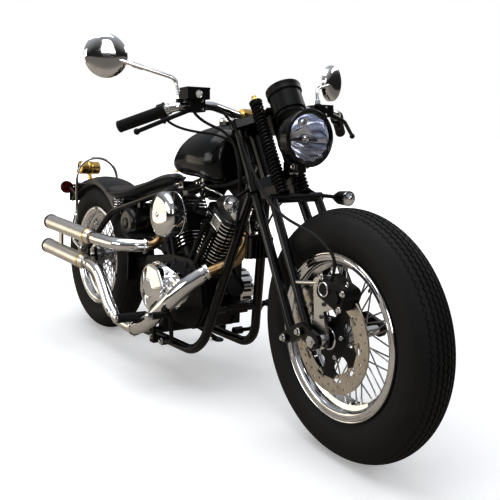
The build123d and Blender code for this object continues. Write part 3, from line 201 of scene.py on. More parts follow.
class Finish:
    """One procedural material, built round a Principled shader."""

    def __init__(self, name, **fixed):
        self.material = bpy.data.materials.new(name)
        self.material.use_nodes = True
        self.tree = self.material.node_tree
        self.shader = self.tree.nodes["Principled BSDF"]
        for key, number in fixed.items():
            self.entry(key).default_value = number

    def entry(self, key):
        """The shader's socket for a keyword such as coat_weight."""
        return self.shader.inputs[key.replace("_", " ").title().replace("Ior", "IOR")]

    def node(self, kind, settings=None, sockets=None, output=0):
        made = self.tree.nodes.new("ShaderNode" + kind)
        for key, setting in (settings or {}).items():
            if key == "stops":
                ramp = made.color_ramp
                for k, (place, colour) in enumerate(setting):
                    stop = ramp.elements[k] if k < 2 else ramp.elements.new(place)
                    stop.position = place
                    stop.color = (*colour, 1)
            else:
                setattr(made, key, setting)
        for key, given in (sockets or {}).items():
            if isinstance(given, Value):
                self.tree.links.new(given.socket, made.inputs[key])
            else:
                made.inputs[key].default_value = given
        return Value(self, made.outputs[output])

    def where(self):
        return self.node("TexCoord", output="Object")

    def noise(self, scale, detail=3.0, at=None):
        at = at or self.where()
        return self.node("TexNoise", sockets={"Vector": at, "Scale": scale, "Detail": detail})

    def cells(self, scale, feature):
        return self.node("TexVoronoi", {"feature": feature},
                         {"Vector": self.where(), "Scale": scale})

    def clear(self, value, low, high):
        """Stretches low..high to 0..1."""
        return self.node("MapRange", sockets={0: value, 1: low, 2: high})

    def tint(self, value, stops):
        return self.node("ValToRGB", {"stops": stops}, {0: value})

    def blend(self, share, first, second):
        return self.node("Mix", {"data_type": "RGBA"}, {0: share, 6: first, 7: second}, output=2)

    def feed(self, **values):
        for key, value in values.items():
            self.tree.links.new(value.socket, self.entry(key))

    def emboss(self, height, strength, depth):
        relief = {"Strength": strength, "Distance": depth, "Height": height}
        self.feed(normal=self.node("Bump", sockets=relief))
        return self


print("finish classes ready")

# %% [markdown]
# ## Paint, castings and plating
# The frame, tank, fender and fork wear gloss black enamel under clear lacquer: very dark, with a
# sharp coat and a few hand smears. Cast pieces are satin black with a fine grain. Plating is nearly
# a mirror, but its polish wanders, and that wandering is what tells chrome from a perfect
# mathematical mirror.

# %% Black finishes


def make_enamel():
    f = Finish("black_enamel", coat_weight=0.4, coat_roughness=0.09, specular_ior_level=0.3)
    smear = f.noise(9, 5)
    dust = f.clear(f.noise(260, 2), 0.62, 0.8)
    f.feed(base_color=f.tint(smear * 0.7 + dust * 0.3,
                             [(0.25, (0.002, 0.002, 0.0025)), (0.8, (0.007, 0.007, 0.0075))]),
           roughness=smear * 0.16 + 0.17)
    return f.emboss(f.noise(420, 2), 0.035, 0.0004).material


def make_casting(name, dark, light, rough):
    f = Finish(name, specular_ior_level=0.3)
    patch = f.noise(30, 5)
    f.feed(base_color=f.tint(patch, [(0.3, dark), (0.75, light)]), roughness=patch * 0.22 + rough)
    return f.emboss(f.noise(900, 3), 0.22, 0.0006).material


enamel = make_enamel()
satin_black = make_casting("satin_black", (0.003, 0.003, 0.0032), (0.008, 0.008, 0.0082), 0.26)
fin_black = make_casting("fin_black", (0.005, 0.005, 0.005), (0.014, 0.0135, 0.013), 0.36)
print("black finishes:", enamel.name, satin_black.name, fin_black.name)

# %% Bright metals


def make_metal(name, colour, shade, rough, wander, brushed=0.0, scale=22.0):
    f = Finish(name, metallic=1.0)
    drift = f.noise(scale, 4)
    f.feed(base_color=f.blend(f.clear(drift, 0.35, 0.75), (*colour, 1), (*shade, 1)),
           roughness=f.clear(drift, 0.3, 0.8) * wander + rough)
    along = f.node("Mapping", {}, {"Vector": f.where(), "Scale": (0.06, 1, 1)})
    return f.emboss(f.noise(700, 2, along), brushed, 0.0004).material


chrome = make_metal("chrome_plate", (0.84, 0.84, 0.845), (0.72, 0.72, 0.72), 0.04, 0.08, 0.02)
spoke_steel = make_metal("spoke_steel", (0.62, 0.62, 0.63), (0.46, 0.46, 0.46), 0.16, 0.14, 0.05)
alloy = make_metal("polished_alloy", (0.83, 0.83, 0.82), (0.70, 0.70, 0.68), 0.14, 0.16, 0.12)
satin_steel = make_metal("satin_silencer_steel", (0.86, 0.83, 0.785), (0.77, 0.74, 0.69),
                         0.30, 0.08, 0.08)
dark_steel = make_metal("oiled_steel", (0.20, 0.20, 0.20), (0.10, 0.095, 0.09), 0.30, 0.25, 0.2, 60)
brass = make_metal("polished_brass", (0.86, 0.60, 0.22), (0.66, 0.42, 0.13), 0.12, 0.2, 0.08, 60)
lamp_silver = make_metal("lamp_silver", (0.84, 0.87, 0.96), (0.72, 0.76, 0.88), 0.10, 0.10)
glass_silver = make_metal("mirror_glass", (0.93, 0.94, 0.95), (0.89, 0.90, 0.92), 0.01, 0.02)


def make_blued_pipe():
    """Bare header pipe: straw and brown heat bands behind the chrome shields."""
    f = Finish("blued_pipe", metallic=1.0)
    band = f.noise(14, 3)
    f.feed(base_color=f.tint(band, [(0.3, (0.30, 0.19, 0.10)), (0.5, (0.46, 0.33, 0.18)),
                                    (0.72, (0.20, 0.15, 0.14))]),
           roughness=band * 0.3 + 0.22)
    return f.emboss(f.noise(500, 2), 0.08, 0.0004).material


def make_rotor_steel(centre):
    """Ground steel: fine rings round the axle, tinted straw by heat."""
    f = Finish("rotor_steel", metallic=1.0)
    arm = f.node("VectorMath", {"operation": "SUBTRACT"}, {0: f.where(), 1: centre})
    radius = f.node("VectorMath", {"operation": "LENGTH"}, {0: arm}, output="Value")
    rings = f.node("TexNoise", {"noise_dimensions": "1D"}, {"W": radius * 900, "Detail": 2.0})
    patch = f.noise(26, 3)
    f.feed(base_color=f.tint(rings * 0.4 + patch * 0.6,
                             [(0.3, (0.54, 0.49, 0.42)), (0.7, (0.80, 0.75, 0.66))]),
           roughness=rings * 0.18 + 0.2)
    return f.emboss(rings, 0.12, 0.0003).material


blued_pipe = make_blued_pipe()
rotor_steel = make_rotor_steel(turned @ front_axle)
print("bright finishes:", chrome.name, alloy.name, satin_steel.name, rotor_steel.name)

# %% [markdown]
# ## Rubber, leather, glass
# Tyres are charcoal, not black, with a bloom of dust. The saddle is dark waxed hide with the small
# cells of leather grain; its top is painted a lighter brown, partly rubbed wear and partly painted
# sheen, and its sides a painted blue-grey sheen. Lamp glass is clear, so the reflector behind it
# does the sparkling; the coloured lenses keep some depth by letting light through.

# %% Soft and clear finishes


def make_rubber(name, dark, dusty, rough):
    f = Finish(name, specular_ior_level=0.4)
    bloom = f.noise(18, 5)
    speck = f.noise(800, 2)
    f.feed(base_color=f.tint(bloom * 0.75 + speck * 0.25, [(0.3, dark), (0.72, dusty)]),
           roughness=bloom * 0.2 + rough)
    return f.emboss(speck, 0.12, 0.0006).material


def make_hide():
    f = Finish("waxed_hide", coat_weight=0.5, coat_roughness=0.22, specular_ior_level=0.5)
    rub = f.noise(7, 4)
    grain = f.cells(520, "DISTANCE_TO_EDGE")
    crease = f.noise(45, 4)
    # Painted sheen: the hide turns lighter brown where it faces up and blue-grey where it faces
    # sideways, as the light falls; the rub noise adds real wear.
    up_facing = f.node("SeparateXYZ", {}, {0: f.node("NewGeometry", output="Normal")}, output=2)
    rubbed_top_and_sheen = f.clear(up_facing * 0.7 + rub * 0.5, 0.62, 1.05)
    f.feed(base_color=f.blend(rubbed_top_and_sheen, (0.013, 0.016, 0.019, 1), (0.052, 0.034, 0.026, 1)),
           roughness=0.48 - rubbed_top_and_sheen * 0.12 + crease * 0.1)
    return f.emboss(f.clear(grain, 0.0, 0.12) * 0.6 + crease * 0.4, 0.35, 0.0012).material


def make_lens(name, colour, rough, ripple):
    f = Finish(name, transmission_weight=1.0, ior=1.46, roughness=rough, base_color=(*colour, 1))
    return f.emboss(f.noise(140, 2), ripple, 0.0008).material


def make_floor_finish():
    """White for the camera, glowing with distance into the white room; dim in the chrome."""
    f = Finish("pale_floor", roughness=0.75, emission_strength=1.0)
    reach = f.node("VectorMath", {"operation": "LENGTH"}, {0: f.where()}, output="Value")
    seen = f.node("LightPath", output="Is Camera Ray")
    pale = f.tint(f.noise(1.5, 3), [(0.3, (0.80, 0.80, 0.805)), (0.7, (0.84, 0.84, 0.84))])
    glow = f.tint(f.clear(reach, 1.2, 4.5), [(0.0, (0.30, 0.30, 0.30)), (1.0, (1.0, 1.0, 1.0))])
    f.feed(base_color=f.blend(seen, (0.40, 0.355, 0.30, 1), pale),
           emission_color=f.blend(seen, (0.03, 0.027, 0.024, 1), glow))
    return f.material


def make_matt(name, rough, scale, detail, dark, light):
    f = Finish(name, roughness=rough)
    f.feed(base_color=f.tint(f.noise(scale, detail), [(0.3, dark), (0.7, light)]))
    return f.material


tyre_rubber = make_rubber("tyre_rubber", (0.0045, 0.0045, 0.005), (0.013, 0.013, 0.013), 0.52)
grip_rubber = make_rubber("grip_rubber", (0.005, 0.005, 0.005), (0.012, 0.012, 0.012), 0.42)
hide = make_hide()
clear_lens = make_lens("clear_lens", (1.0, 1.0, 1.0), 0.0, 0.0)
ripple_lens = make_lens("ripple_lens", (0.98, 0.98, 1.0), 0.03, 0.25)
red_lens = make_lens("red_lens", (0.20, 0.006, 0.008), 0.08, 0.2)
dial_face = make_matt("dial_face", 0.5, 60, 3, (0.02, 0.02, 0.022), (0.03, 0.03, 0.032))
white_mark = make_matt("white_marking", 0.35, 90, 2, (0.78, 0.78, 0.75), (0.86, 0.86, 0.83))
SLOTS = {
    enamel: "gloss_black", satin_black: "gloss_black", dial_face: "gloss_black",
    white_mark: "gloss_black", chrome: "chrome", lamp_silver: "chrome", glass_silver: "chrome",
    alloy: "cast_alloy", dark_steel: "satin_steel", brass: "brass", hide: "leather",
    tyre_rubber: "tyre_rubber", grip_rubber: "grip_rubber", clear_lens: "clear_lens",
    ripple_lens: "clear_lens", red_lens: "red_lens"}
print("soft and clear finishes:", hide.name, tyre_rubber.name, clear_lens.name)

# %% [markdown]
# ## Turning, skinning and bolting
# Most parts of a motorcycle are turned on a lathe, bent from tube or bolted on. A mould collects
# the points and faces of such pieces in upright millimetres, and a piece made from it is carried
# into the parked frame once, at the end, and rides on its body from then on.

# %% Moulds


def square_to(axis):
    """Two directions square to an axis and to each other."""
    axis = axis.normalized()
    side = axis.cross(upward if abs(axis.z) < 0.9 else onward).normalized()
    return side, axis.cross(side)


def turns(count, start=0.0):
    """Equal angles round a full turn."""
    return [2 * math.pi * (k + start) / count for k in range(count)]


def swung(side, other, turn, radius):
    return (side * math.cos(turn) + other * math.sin(turn)) * radius


def polar(turn, radius, y=0):
    """A step out from an axle, in the plane of its wheel."""
    return Vector((math.cos(turn) * radius, y, math.sin(turn) * radius))


def mirrored(point, side):
    """The point itself for side 1, its twin across the machine for side -1."""
    return Vector((point[0], point[1] * side, point[2]))


class Mould:
    """Points and faces of one piece, in millimetres on the upright machine."""

    def __init__(self):
        self.points = []
        self.faces = []

    def skin(self, rings, caps=True, loop=False):
        """Joins closed rings of equal count, one after another."""
        first = len(self.points)
        count = len(rings[0])
        for ring in rings:
            self.points.extend(ring)
        for r in range(len(rings) if loop else len(rings) - 1):
            near = first + r * count
            far = first + ((r + 1) % len(rings)) * count
            for k in range(count):
                n = (k + 1) % count
                self.faces.append((near + k, near + n, far + n, far + k))
        if caps and not loop:
            self.faces.append(tuple(first + k for k in reversed(range(count))))
            self.faces.append(tuple(first + (len(rings) - 1) * count + k for k in range(count)))
        return self

    def slab(self, outline, reach):
        """An (x, z) outline carried across the machine from one y to the next."""
        return self.skin([[(x, y, z) for x, z in outline] for y in reach])

    def lathe(self, at, axis, profile, steps=40, caps=True, loop=False):
        """Turns (along, radius) pairs about an axis through a point."""
        at = Vector(at)
        axis = Vector(axis).normalized()
        side, other = square_to(axis)
        return self.skin([[at + axis * along + swung(side, other, t, max(radius, 0.02))
                           for t in turns(steps)] for along, radius in profile], caps, loop)

    def ring(self, at, axis, section, steps):
        """Turns a closed section into a hollow ring."""
        return self.lathe(at, axis, section, steps, False, True)

    def pipe(self, route, radius, sides=12):
        """Round bar along a chain of points, without twist."""
        route = [Vector(p) for p in route]
        way = (route[1] - route[0]).normalized()
        side, other = square_to(way)
        rings = []
        for k, point in enumerate(route):
            ahead = route[min(k + 1, len(route) - 1)] - route[max(k - 1, 0)]
            swing = way.rotation_difference(ahead.normalized())
            way = ahead.normalized()
            side = swing @ side
            other = swing @ other
            reach = radius(k / (len(route) - 1)) if callable(radius) else radius
            rings.append([point + swung(side, other, t, reach) for t in turns(sides)])
        return self.skin(rings)

    def hex_bolt(self, at, axis, size, height):
        """Hexagon head on a washer."""
        self.lathe(at, axis, [(0, size * 0.72), (1.4, size * 0.72), (1.6, size * 0.66)], 24)
        top = [(1.5, 0.56), (1.5 + height * 0.8, 0.56), (1.5 + height, 0.46)]
        return self.lathe(at, axis, [(a, r * size) for a, r in top], 6)

    def cap_screw(self, at, axis, radius, height):
        """Round socket screw with its recess."""
        recess = [(0, radius), (height * 0.85, radius), (height, radius * 0.88),
                  (height, radius * 0.55), (height * 0.45, radius * 0.5)]
        return self.lathe(at, axis, recess, 18)

    def piece(self, name, finish, body, angle=35, stands_for=(), slot=None):
        """Makes the mesh; the slot, the finish's own unless another is named, is worked out but not
        used.
        """
        slot = slot or SLOTS[finish]
        mesh = bpy.data.meshes.new(name)
        place = turned if body in STEERED_BODIES else parked
        mesh.from_pydata([place @ Vector(p) for p in self.points], [], self.faces)
        shape = bmesh.new()
        shape.from_mesh(mesh)
        bmesh.ops.recalc_face_normals(shape, faces=shape.faces)
        shape.to_mesh(mesh)
        shape.free()
        mesh.materials.append(finish)
        mesh.polygons.foreach_set("use_smooth", [True] * len(mesh.polygons))
        mesh.set_sharp_from_angle(angle=math.radians(angle))
        made = bpy.data.objects.new(name, mesh)
        scene.collection.objects.link(made)
        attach(made, body)
        if stands_for:
            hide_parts(*stands_for)
        print(name, len(mesh.polygons), "faces on", body)
        return made


def arc(first, middle, last, count):
    """Points of the circle through three points of a section."""
    (ax, ay), (bx, by), (cx, cy) = first, middle, last
    d = 2 * (ax * (by - cy) + bx * (cy - ay) + cx * (ay - by))
    sa, sb, sc = ax * ax + ay * ay, bx * bx + by * by, cx * cx + cy * cy
    ux = (sa * (by - cy) + sb * (cy - ay) + sc * (ay - by)) / d
    uy = (sa * (cx - bx) + sb * (ax - cx) + sc * (bx - ax)) / d
    angles = [math.atan2(y - uy, x - ux) for x, y in (first, middle, last)]
    for k in (1, 2):
        while abs(angles[k] - angles[k - 1]) > math.pi:
            angles[k] -= math.copysign(2 * math.pi, angles[k] - angles[k - 1])
    reach = math.hypot(ax - ux, ay - uy)
    steps = [angles[0] + (angles[2] - angles[0]) * k / count for k in range(count + 1)]
    return [(ux + reach * math.cos(t), uy + reach * math.sin(t)) for t in steps]


# %% [markdown]
# ## Finishes for the solids
# The CAD solids that already have the right form only need their finish. Four of them carry two
# finishes: the two barrels have polished fin edges on black castings, the front pipe is blued where
# its shield ends, and the brake disc has a black carrier inside a ground steel band, so single
# faces of their meshes are given the second one.

# %% Dress the solids
FINISHES = {
    enamel: "frame_spine frame_stays frame_cradle fuel_tank rear_fender fork_legs spring_legs "
            "fork_trees headlight_bucket oil_tank fork_rockers",
    satin_black: "speedometer front_signals brake_master clutch_perch regulator brake_caliper "
                 "plate_bracket foot_controls_right foot_controls_left side_stand stand_bracket "
                 "carburettor crankcase",
    fin_black: "cylinder_front cylinder_rear",
    chrome: "front_rim rear_rim handlebar mirrors fender_hoop clutch_cover generator_cover "
            "exhaust_front air_cleaner horn seat_springs front_axle rear_axle",
    spoke_steel: "front_hub rear_hub",
    alloy: "caliper_bracket rocker_covers",
    satin_steel: "silencers",
    blued_pipe: "exhaust_rear",
    rotor_steel: "front_disc",
    dark_steel: "rear_sprocket drive_chain",
    brass: "brass_fittings tail_lamp",
    red_lens: "rear_reflectors",
    clear_lens: "headlight_lens",
    tyre_rubber: "front_tyre rear_tyre",
    grip_rubber: "grips brake_hose control_cables fork_springs",
    hide: "seat",
}
for finish, names in FINISHES.items():
    for name in names.split():
        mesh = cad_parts[name].data
        mesh.materials.clear()
        mesh.materials.append(finish)
undressed = sorted(set(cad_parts) - set(" ".join(FINISHES.values()).split()))
print("undressed solids:", undressed)

# %% Second finishes on single faces
CRANK = Vector((850, 0, 330))
BANK_TILTS = {"cylinder_front": math.radians(32), "cylinder_rear": math.radians(-30)}
CARRIER_RADIUS = 101


def second_finish(node, finish, body, wanted):
    """Gives a second finish to a solid's faces for which wanted(middle, normal) holds, upright."""
    upright = (turned if body in STEERED_BODIES else parked).inverted()
    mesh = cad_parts[node].data
    mesh.materials.append(finish)
    count = 0
    for face in mesh.polygons:
        if wanted(upright @ face.center, (upright.to_3x3() @ face.normal).normalized()):
            face.material_index = 1
            count += 1
    print(node, count, "faces take", finish.name)


def bank_axes(tilt):
    """Along the bore and fore-and-aft across it."""
    return (Vector((math.sin(tilt), 0, math.cos(tilt))),
            Vector((math.cos(tilt), 0, -math.sin(tilt))))


def on_bank(tilt, ahead, left, along):
    """A point counted from the crank along a tilted cylinder."""
    bore, fore = bank_axes(tilt)
    return CRANK + fore * ahead + across * left + bore * along


def fin_rim(node):
    bore, fore = bank_axes(BANK_TILTS[node])

    def rim(middle, normal):
        arm = middle - CRANK
        outside = max(abs(arm.dot(fore)) - 60, abs(arm.y) - 60,
                      math.hypot(arm.dot(fore), arm.y) - 74)
        return abs(normal.dot(bore)) < 0.3 and outside > 0
    return rim


for node in BANK_TILTS:
    second_finish(node, alloy, "chassis", fin_rim(node))
second_finish("exhaust_front", blued_pipe, "chassis",
              lambda middle, normal: middle.x > 1010 and middle.z > 380)
second_finish("front_disc", satin_black, "front_wheel", lambda middle, normal: math.hypot(
    middle.x - front_axle.x, middle.z - front_axle.z) < CARRIER_RADIUS)

# %% [markdown]
# ## The floor
# A broad pale sheet under the motorcycle, no part of it.

# %% Floor
FLOOR_HALF = 30
sheet = bpy.data.meshes.new("floor")
sheet.from_pydata([(x * FLOOR_HALF, y * FLOOR_HALF, 0)
                   for x, y in ((-1, -1), (1, -1), (1, 1), (-1, 1))], [], [(0, 1, 2, 3)])
sheet.materials.append(make_floor_finish())
floor = bpy.data.objects.new("floor", sheet)
scene.collection.objects.link(floor)
print("floor laid")

# %% [markdown]
# ## Tyres with a sawtooth tread
# Old road tyres have straight ribs whose grooves zigzag like a saw blade. The tread could be a bump
# map, but its notches show in the outline, so each tyre is skinned from sections in which every
# groove is stepped sideways a little from one section to the next.

# %% Tyres
GROOVES = (-38.4, -25.6, -12.8, 0, 12.8, 25.6, 38.4)
GROOVE_HALF = 2.2
GROOVE_DEPTH = 4.2
SAW = (-1, -0.2, 1, 0.2)
SAW_SWING = 2.1
SAW_TEETH = 110
CROWN_HALF, CROWN_DROP = 46, 18


def crown_height(y):
    """Tread radius across the tyre, the circle through its three drawn points."""
    bow = (CROWN_HALF * CROWN_HALF + CROWN_DROP * CROWN_DROP) / (2 * CROWN_DROP)
    return WHEEL_RADIUS - bow + math.sqrt(bow * bow - y * y)


def tyre_section(swing):
    wall = arc((-44, 228), (-66, 274), (-46, 322), 14)
    section = [(-31, 204), (-40, 204), (-43, 222)] + wall[:4]
    section += [(wall[4][0] - 0.9, wall[4][1]), (wall[4][0] - 0.9, wall[4][1] + 2)] + wall[5:10]
    section += [(wall[10][0] - 0.8, wall[10][1]), (wall[10][0] + 0.1, wall[10][1] + 2.5)]
    section += wall[11:14]
    tread = [(-46, 322)]
    for k, middle in enumerate(GROOVES):
        y = middle + swing * (1 if k % 2 else -1)
        for offset, drop in ((-GROOVE_HALF - 0.5, 0), (-GROOVE_HALF + 0.4, GROOVE_DEPTH),
                             (GROOVE_HALF - 0.4, GROOVE_DEPTH), (GROOVE_HALF + 0.5, 0)):
            tread.append((y + offset, crown_height(y + offset) - drop))
    tread.append((46, 322))
    other = [(-y, r) for y, r in reversed(section)]
    inside = [(33, 228), (54, 274), (34, 316), (0, 326), (-34, 316), (-54, 274), (-33, 228)]
    return section + tread + other + inside


def make_tyre(name, axle, body):
    rings = []
    for k, t in enumerate(turns(SAW_TEETH * len(SAW))):
        section = tyre_section(SAW_SWING * SAW[k % len(SAW)])
        rings.append([axle + across * y + polar(t, 1) * r for y, r in section])
    return Mould().skin(rings, loop=True).piece(name + "_tread", tyre_rubber, body, 50, (name,))


make_tyre("front_tyre", front_axle, "front_wheel")
make_tyre("rear_tyre", rear_axle, "rear_wheel")

# %% [markdown]
# ## Rolled rim edges
# A steel rim is rolled from strip, which leaves a bead at the edge and soft steps down to the well.
# They catch the light as thin rings, so a stepped skin is turned over each side of the plain rim.

# %% Rim edges
RIM_STEPS = [(50.2, 225.8), (52, 224.6), (52.6, 222.6), (51.8, 220.6), (50.6, 219.6), (50.5, 214.5),
             (51.4, 213.6), (51.1, 212), (49.7, 211.4), (49.2, 206.6), (48.4, 204.2), (46.6, 201.4),
             (44.2, 198.8), (42.5, 197.3), (37, 197.2), (36, 195.9), (33.6, 195.9), (32.6, 197.3),
             (32, 199.4), (42, 199.4), (47, 206), (49.4, 221)]
for name, axle, body in (("front_rim_edges", front_axle, "front_wheel"),
                         ("rear_rim_edges", rear_axle, "rear_wheel")):
    edges = Mould()
    for side in (-1, 1):
        edges.ring(axle, across * side, RIM_STEPS, 120)
    edges.piece(name, chrome, body)

# %% [markdown]
# ## Spoke nipples and valves
# Wire wheels are tensioned at the rim: a slim brass-cored nut, plated, sits on the end of every
# spoke. Each is turned round its own spoke line, so the crossing angles come out as on a laced
# wheel.

# %% Nipples
SPOKES_A_SIDE = 20
LACING = math.radians(42)
HUB_CIRCLE, RIM_CIRCLE = 34, 187
VALVE_TURN = 1.05


def lace_nipples(name, axle, body):
    mould = Mould()
    for side in (-1, 1):
        for i, hole in enumerate(turns(SPOKES_A_SIDE, 0.25 * side)):
            odd = 1 if i % 2 else -1
            start = axle + polar(hole, HUB_CIRCLE, side * (27 + 4.5 * odd))
            end = axle + polar(hole + LACING * odd, RIM_CIRCLE, side * 7)
            way = (end - start).normalized()
            mould.lathe(end - way * 17, way, [(0, 2.2), (1, 3.0), (11, 3.0), (13, 4.3), (16, 4.3)],
                        10)
    valve = axle + polar(VALVE_TURN, RIM_CIRCLE - 1)
    mould.lathe(valve, axle - valve,
                [(0, 5), (3, 5), (4, 3.4), (24, 3.4), (25, 4.4), (34, 4.4), (35, 3.5)], 16)
    return mould.piece(name, chrome, body, 40)


lace_nipples("front_nipples", front_axle, "front_wheel")
lace_nipples("rear_nipples", rear_axle, "rear_wheel")

# %% [markdown]
# ## Brake rotor, carrier and caliper trim
# The disc bolts to a black carrier with five plated screws. The caliper is a black casting with one
# bright ring round its piston cap, held by a polished arm, so small turned rings and screws finish
# both.

# %% Front brake trim
CALIPER_LEAN = math.radians(19)
CALIPER_FACE = -104
out_from_axle = Vector((math.sin(CALIPER_LEAN), 0, math.cos(CALIPER_LEAN)))
along_rim = Vector((math.cos(CALIPER_LEAN), 0, -math.sin(CALIPER_LEAN)))


def on_caliper(forward, outward, y):
    return front_axle + along_rim * forward + out_from_axle * outward + across * y


carrier = [(64.7, 20), (68.5, 20), (69.5, 22), (69.5, 33), (66.5, 40), (64.7, 60)]
Mould().ring(front_axle, -across, carrier, 48).piece("rotor_carrier", satin_black, "front_wheel")
studs = Mould()
for t in turns(5, 0.2):
    studs.cap_screw(front_axle + polar(t, 52, -65.2), -across, 6.5, 6)
studs.ring(front_axle, -across, [(69.5, 24), (71, 25), (72, 27), (71, 30), (69.5, 31)], 40)
studs.piece("rotor_studs", chrome, "front_wheel")
caliper = Mould()
caliper.ring(on_caliper(-22, 141, CALIPER_FACE), -across,
             [(0, 15.5), (6.4, 15.5), (7.6, 16.5), (7.6, 19), (6, 20.2), (0, 20.2)], 40)
for forward, outward in ((-44, 164), (44, 164), (46, 120)):
    caliper.hex_bolt(on_caliper(forward, outward, CALIPER_FACE), -across, 11, 6)
caliper.lathe(on_caliper(30, 172, -84), out_from_axle,
              [(0, 5), (6, 5), (7, 3.5), (15, 3.5), (16, 2.5)], 14)
caliper.piece("caliper_trim", chrome, "steering")
arm = Mould()
for forward, outward in ((-18, 60), (-20, 96), (-22, 128)):
    arm.cap_screw(on_caliper(forward, outward, -95), -across, 5.5, 4)
arm.piece("caliper_arm_screws", dark_steel, "steering")

# %% [markdown]
# ## Fork springs
# The fork works by two stacks of coil springs round long studs. In the solids each turn is a plain
# ring; here the wire is one true helix, closed and ground flat at both ends like a wound spring.

# %% Springs
SPRING_AHEAD, SPRING_SIDE = 76, 38


def wind(mould, foot, axis, length, radius, wire, coils, steps=22):
    """Helix whose end turns lie flat."""
    axis = Vector(axis).normalized()
    side, other = square_to(axis)
    route = []
    for k in range(int(coils * steps) + 1):
        t = k / steps
        eased = min(max((t - 0.8) / (coils - 1.6), 0), 1)
        height = wire + eased * (length - 2 * wire)
        route.append(Vector(foot) + axis * height + swung(side, other, 2 * math.pi * t, radius))
    return mould.pipe(route, wire, 8)


springs = Mould()
for side in (-SPRING_SIDE, SPRING_SIDE):
    wind(springs, on_fork(SPRING_AHEAD, side, 402), fork_up, 304, 16.2, 3.6, 27)
    for along in (399.4, 705):
        springs.ring(on_fork(SPRING_AHEAD, side, along), fork_up,
                     [(0, 7), (0, 19), (2, 20.5), (5, 20.5), (7, 18.5), (7, 7)], 30)
    springs.ring(on_fork(SPRING_AHEAD, side, 404), fork_up,
                 [(0, 6.3), (0, 9.5), (302, 9.5), (302, 6.3)], 20)
springs.piece("wound_springs", satin_black, "steering", 40, ("fork_springs",))

# %% [markdown]
# ## Fork hardware
# Pinch screws close the trees on the legs, a big nut closes the steering stem, and plated studs
# carry the rockers. These are the fasteners one's eye expects at each joint of the fork.

# %% Fork hardware
hardware = Mould()
for side in (-1, 1):
    hardware.cap_screw(on_fork(-20, side * 92, 456), -fork_ahead, 5.5, 6)
    hardware.cap_screw(on_fork(-18, side * 84, 668), -fork_ahead, 5, 5)
    hardware.lathe(on_fork(0, side * 74, 690), fork_up, [(0, 13.6), (3, 13.6), (5, 12), (6, 6)], 30)
    for ahead, along in ((0, 0), (76, -5)):
        hardware.hex_bolt(on_fork(ahead, side * 126, along), across * side, 15, 8)
    hardware.hex_bolt(on_fork(101, side * 8, 456), fork_ahead, 13, 7)
    hardware.cap_screw(on_fork(70, side * 12, 472), fork_up, 4.5, 5)
    hardware.cap_screw(on_fork(62, side * 10, 681), fork_up, 4.5, 5)
    hardware.hex_bolt(on_fork(34, side * 38, 472), fork_up, 14, 8)
hardware.hex_bolt(on_fork(STEM_AHEAD, 0, 681), fork_up, 34, 12)
hardware.piece("fork_hardware", chrome, "steering", 30)

# %% [markdown]
# ## Headlamp
# The lens is clear and slightly domed; what sparkles is the reflector behind it. It could be a
# plain turned dish, but real ones are pressed: smooth above and fluted below, round a capped bulb
# with a shade bar and a small ring for the pilot light. All of it goes into the hollow shell.

# %% Headlamp
LAMP_X, LAMP_Z = 1418.0, 862.0
lamp_at = Vector((LAMP_X, 0, LAMP_Z))
BOWL = ((-13.5, 66.6), (-26, 64), (-40, 58), (-52, 51), (-64, 41), (-74, 30), (-80, 19))


def pressed_ring(depth, radius):
    """One ring of the dish: smooth above, pressed into flutes below."""
    ring = []
    for t in turns(120):
        fluted = math.sin(t) < -0.25
        press = 0.085 * abs(math.sin(7 * t)) if fluted else 0.03 * abs(math.sin(4 * t))
        ring.append(lamp_at + onward * depth + swung(across, upward, t, radius) * (1 - press))
    return ring


inner = [pressed_ring(depth, radius) for depth, radius in BOWL]
outer = [pressed_ring(depth - 1.5, radius + 1) for depth, radius in reversed(BOWL)]
Mould().skin(inner + outer, loop=True).piece("lamp_reflector", lamp_silver, "steering", 25)
bulb = Mould()
bulb.lathe(lamp_at, onward, [(-82, 17), (-70, 13), (-58, 7), (-40, 7), (-38, 11), (-28, 11),
                             (-24, 8), (-22, 2)], 28)
bulb.ring(lamp_at + Vector((0, -14, 34)), (1, -0.1, -0.3),
          [(-34, 7), (-30, 12), (-27, 13.4), (-24, 12), (-24, 9), (-28, 7.6)], 30)
bulb.piece("lamp_bulb", chrome, "steering")
shade = [lamp_at + Vector((-34, y, -4 - y * y / 900)) for y in range(-40, 41, 8)]
Mould().pipe(shade, lambda s: 2.2 + 3 * math.sin(math.pi * s), 14).piece(
    "lamp_visor", dark_steel, "steering")
bezel = [(-7.6, 81.6), (-4, 81.8), (0.6, 78.4), (1.6, 74), (0.6, 72.4), (-1.2, 72.8)]
Mould().ring(lamp_at, onward, bezel, 72).piece("lamp_rim", enamel, "steering")
clips = Mould()
clips.cap_screw((LAMP_X - 14, 0, LAMP_Z - 81.3), -upward, 4.5, 4)
for side in (-1, 1):
    clips.hex_bolt((LAMP_X - 62, side * 15, 780), across * side, 12, 6)
clips.piece("lamp_screws", chrome, "steering")

# %% [markdown]
# ## Speedometer
# A deep black can with a stepped ring carries a plain dial. The dial only has ticks and a pointer,
# set into the recess of the solid under a disc of glass.

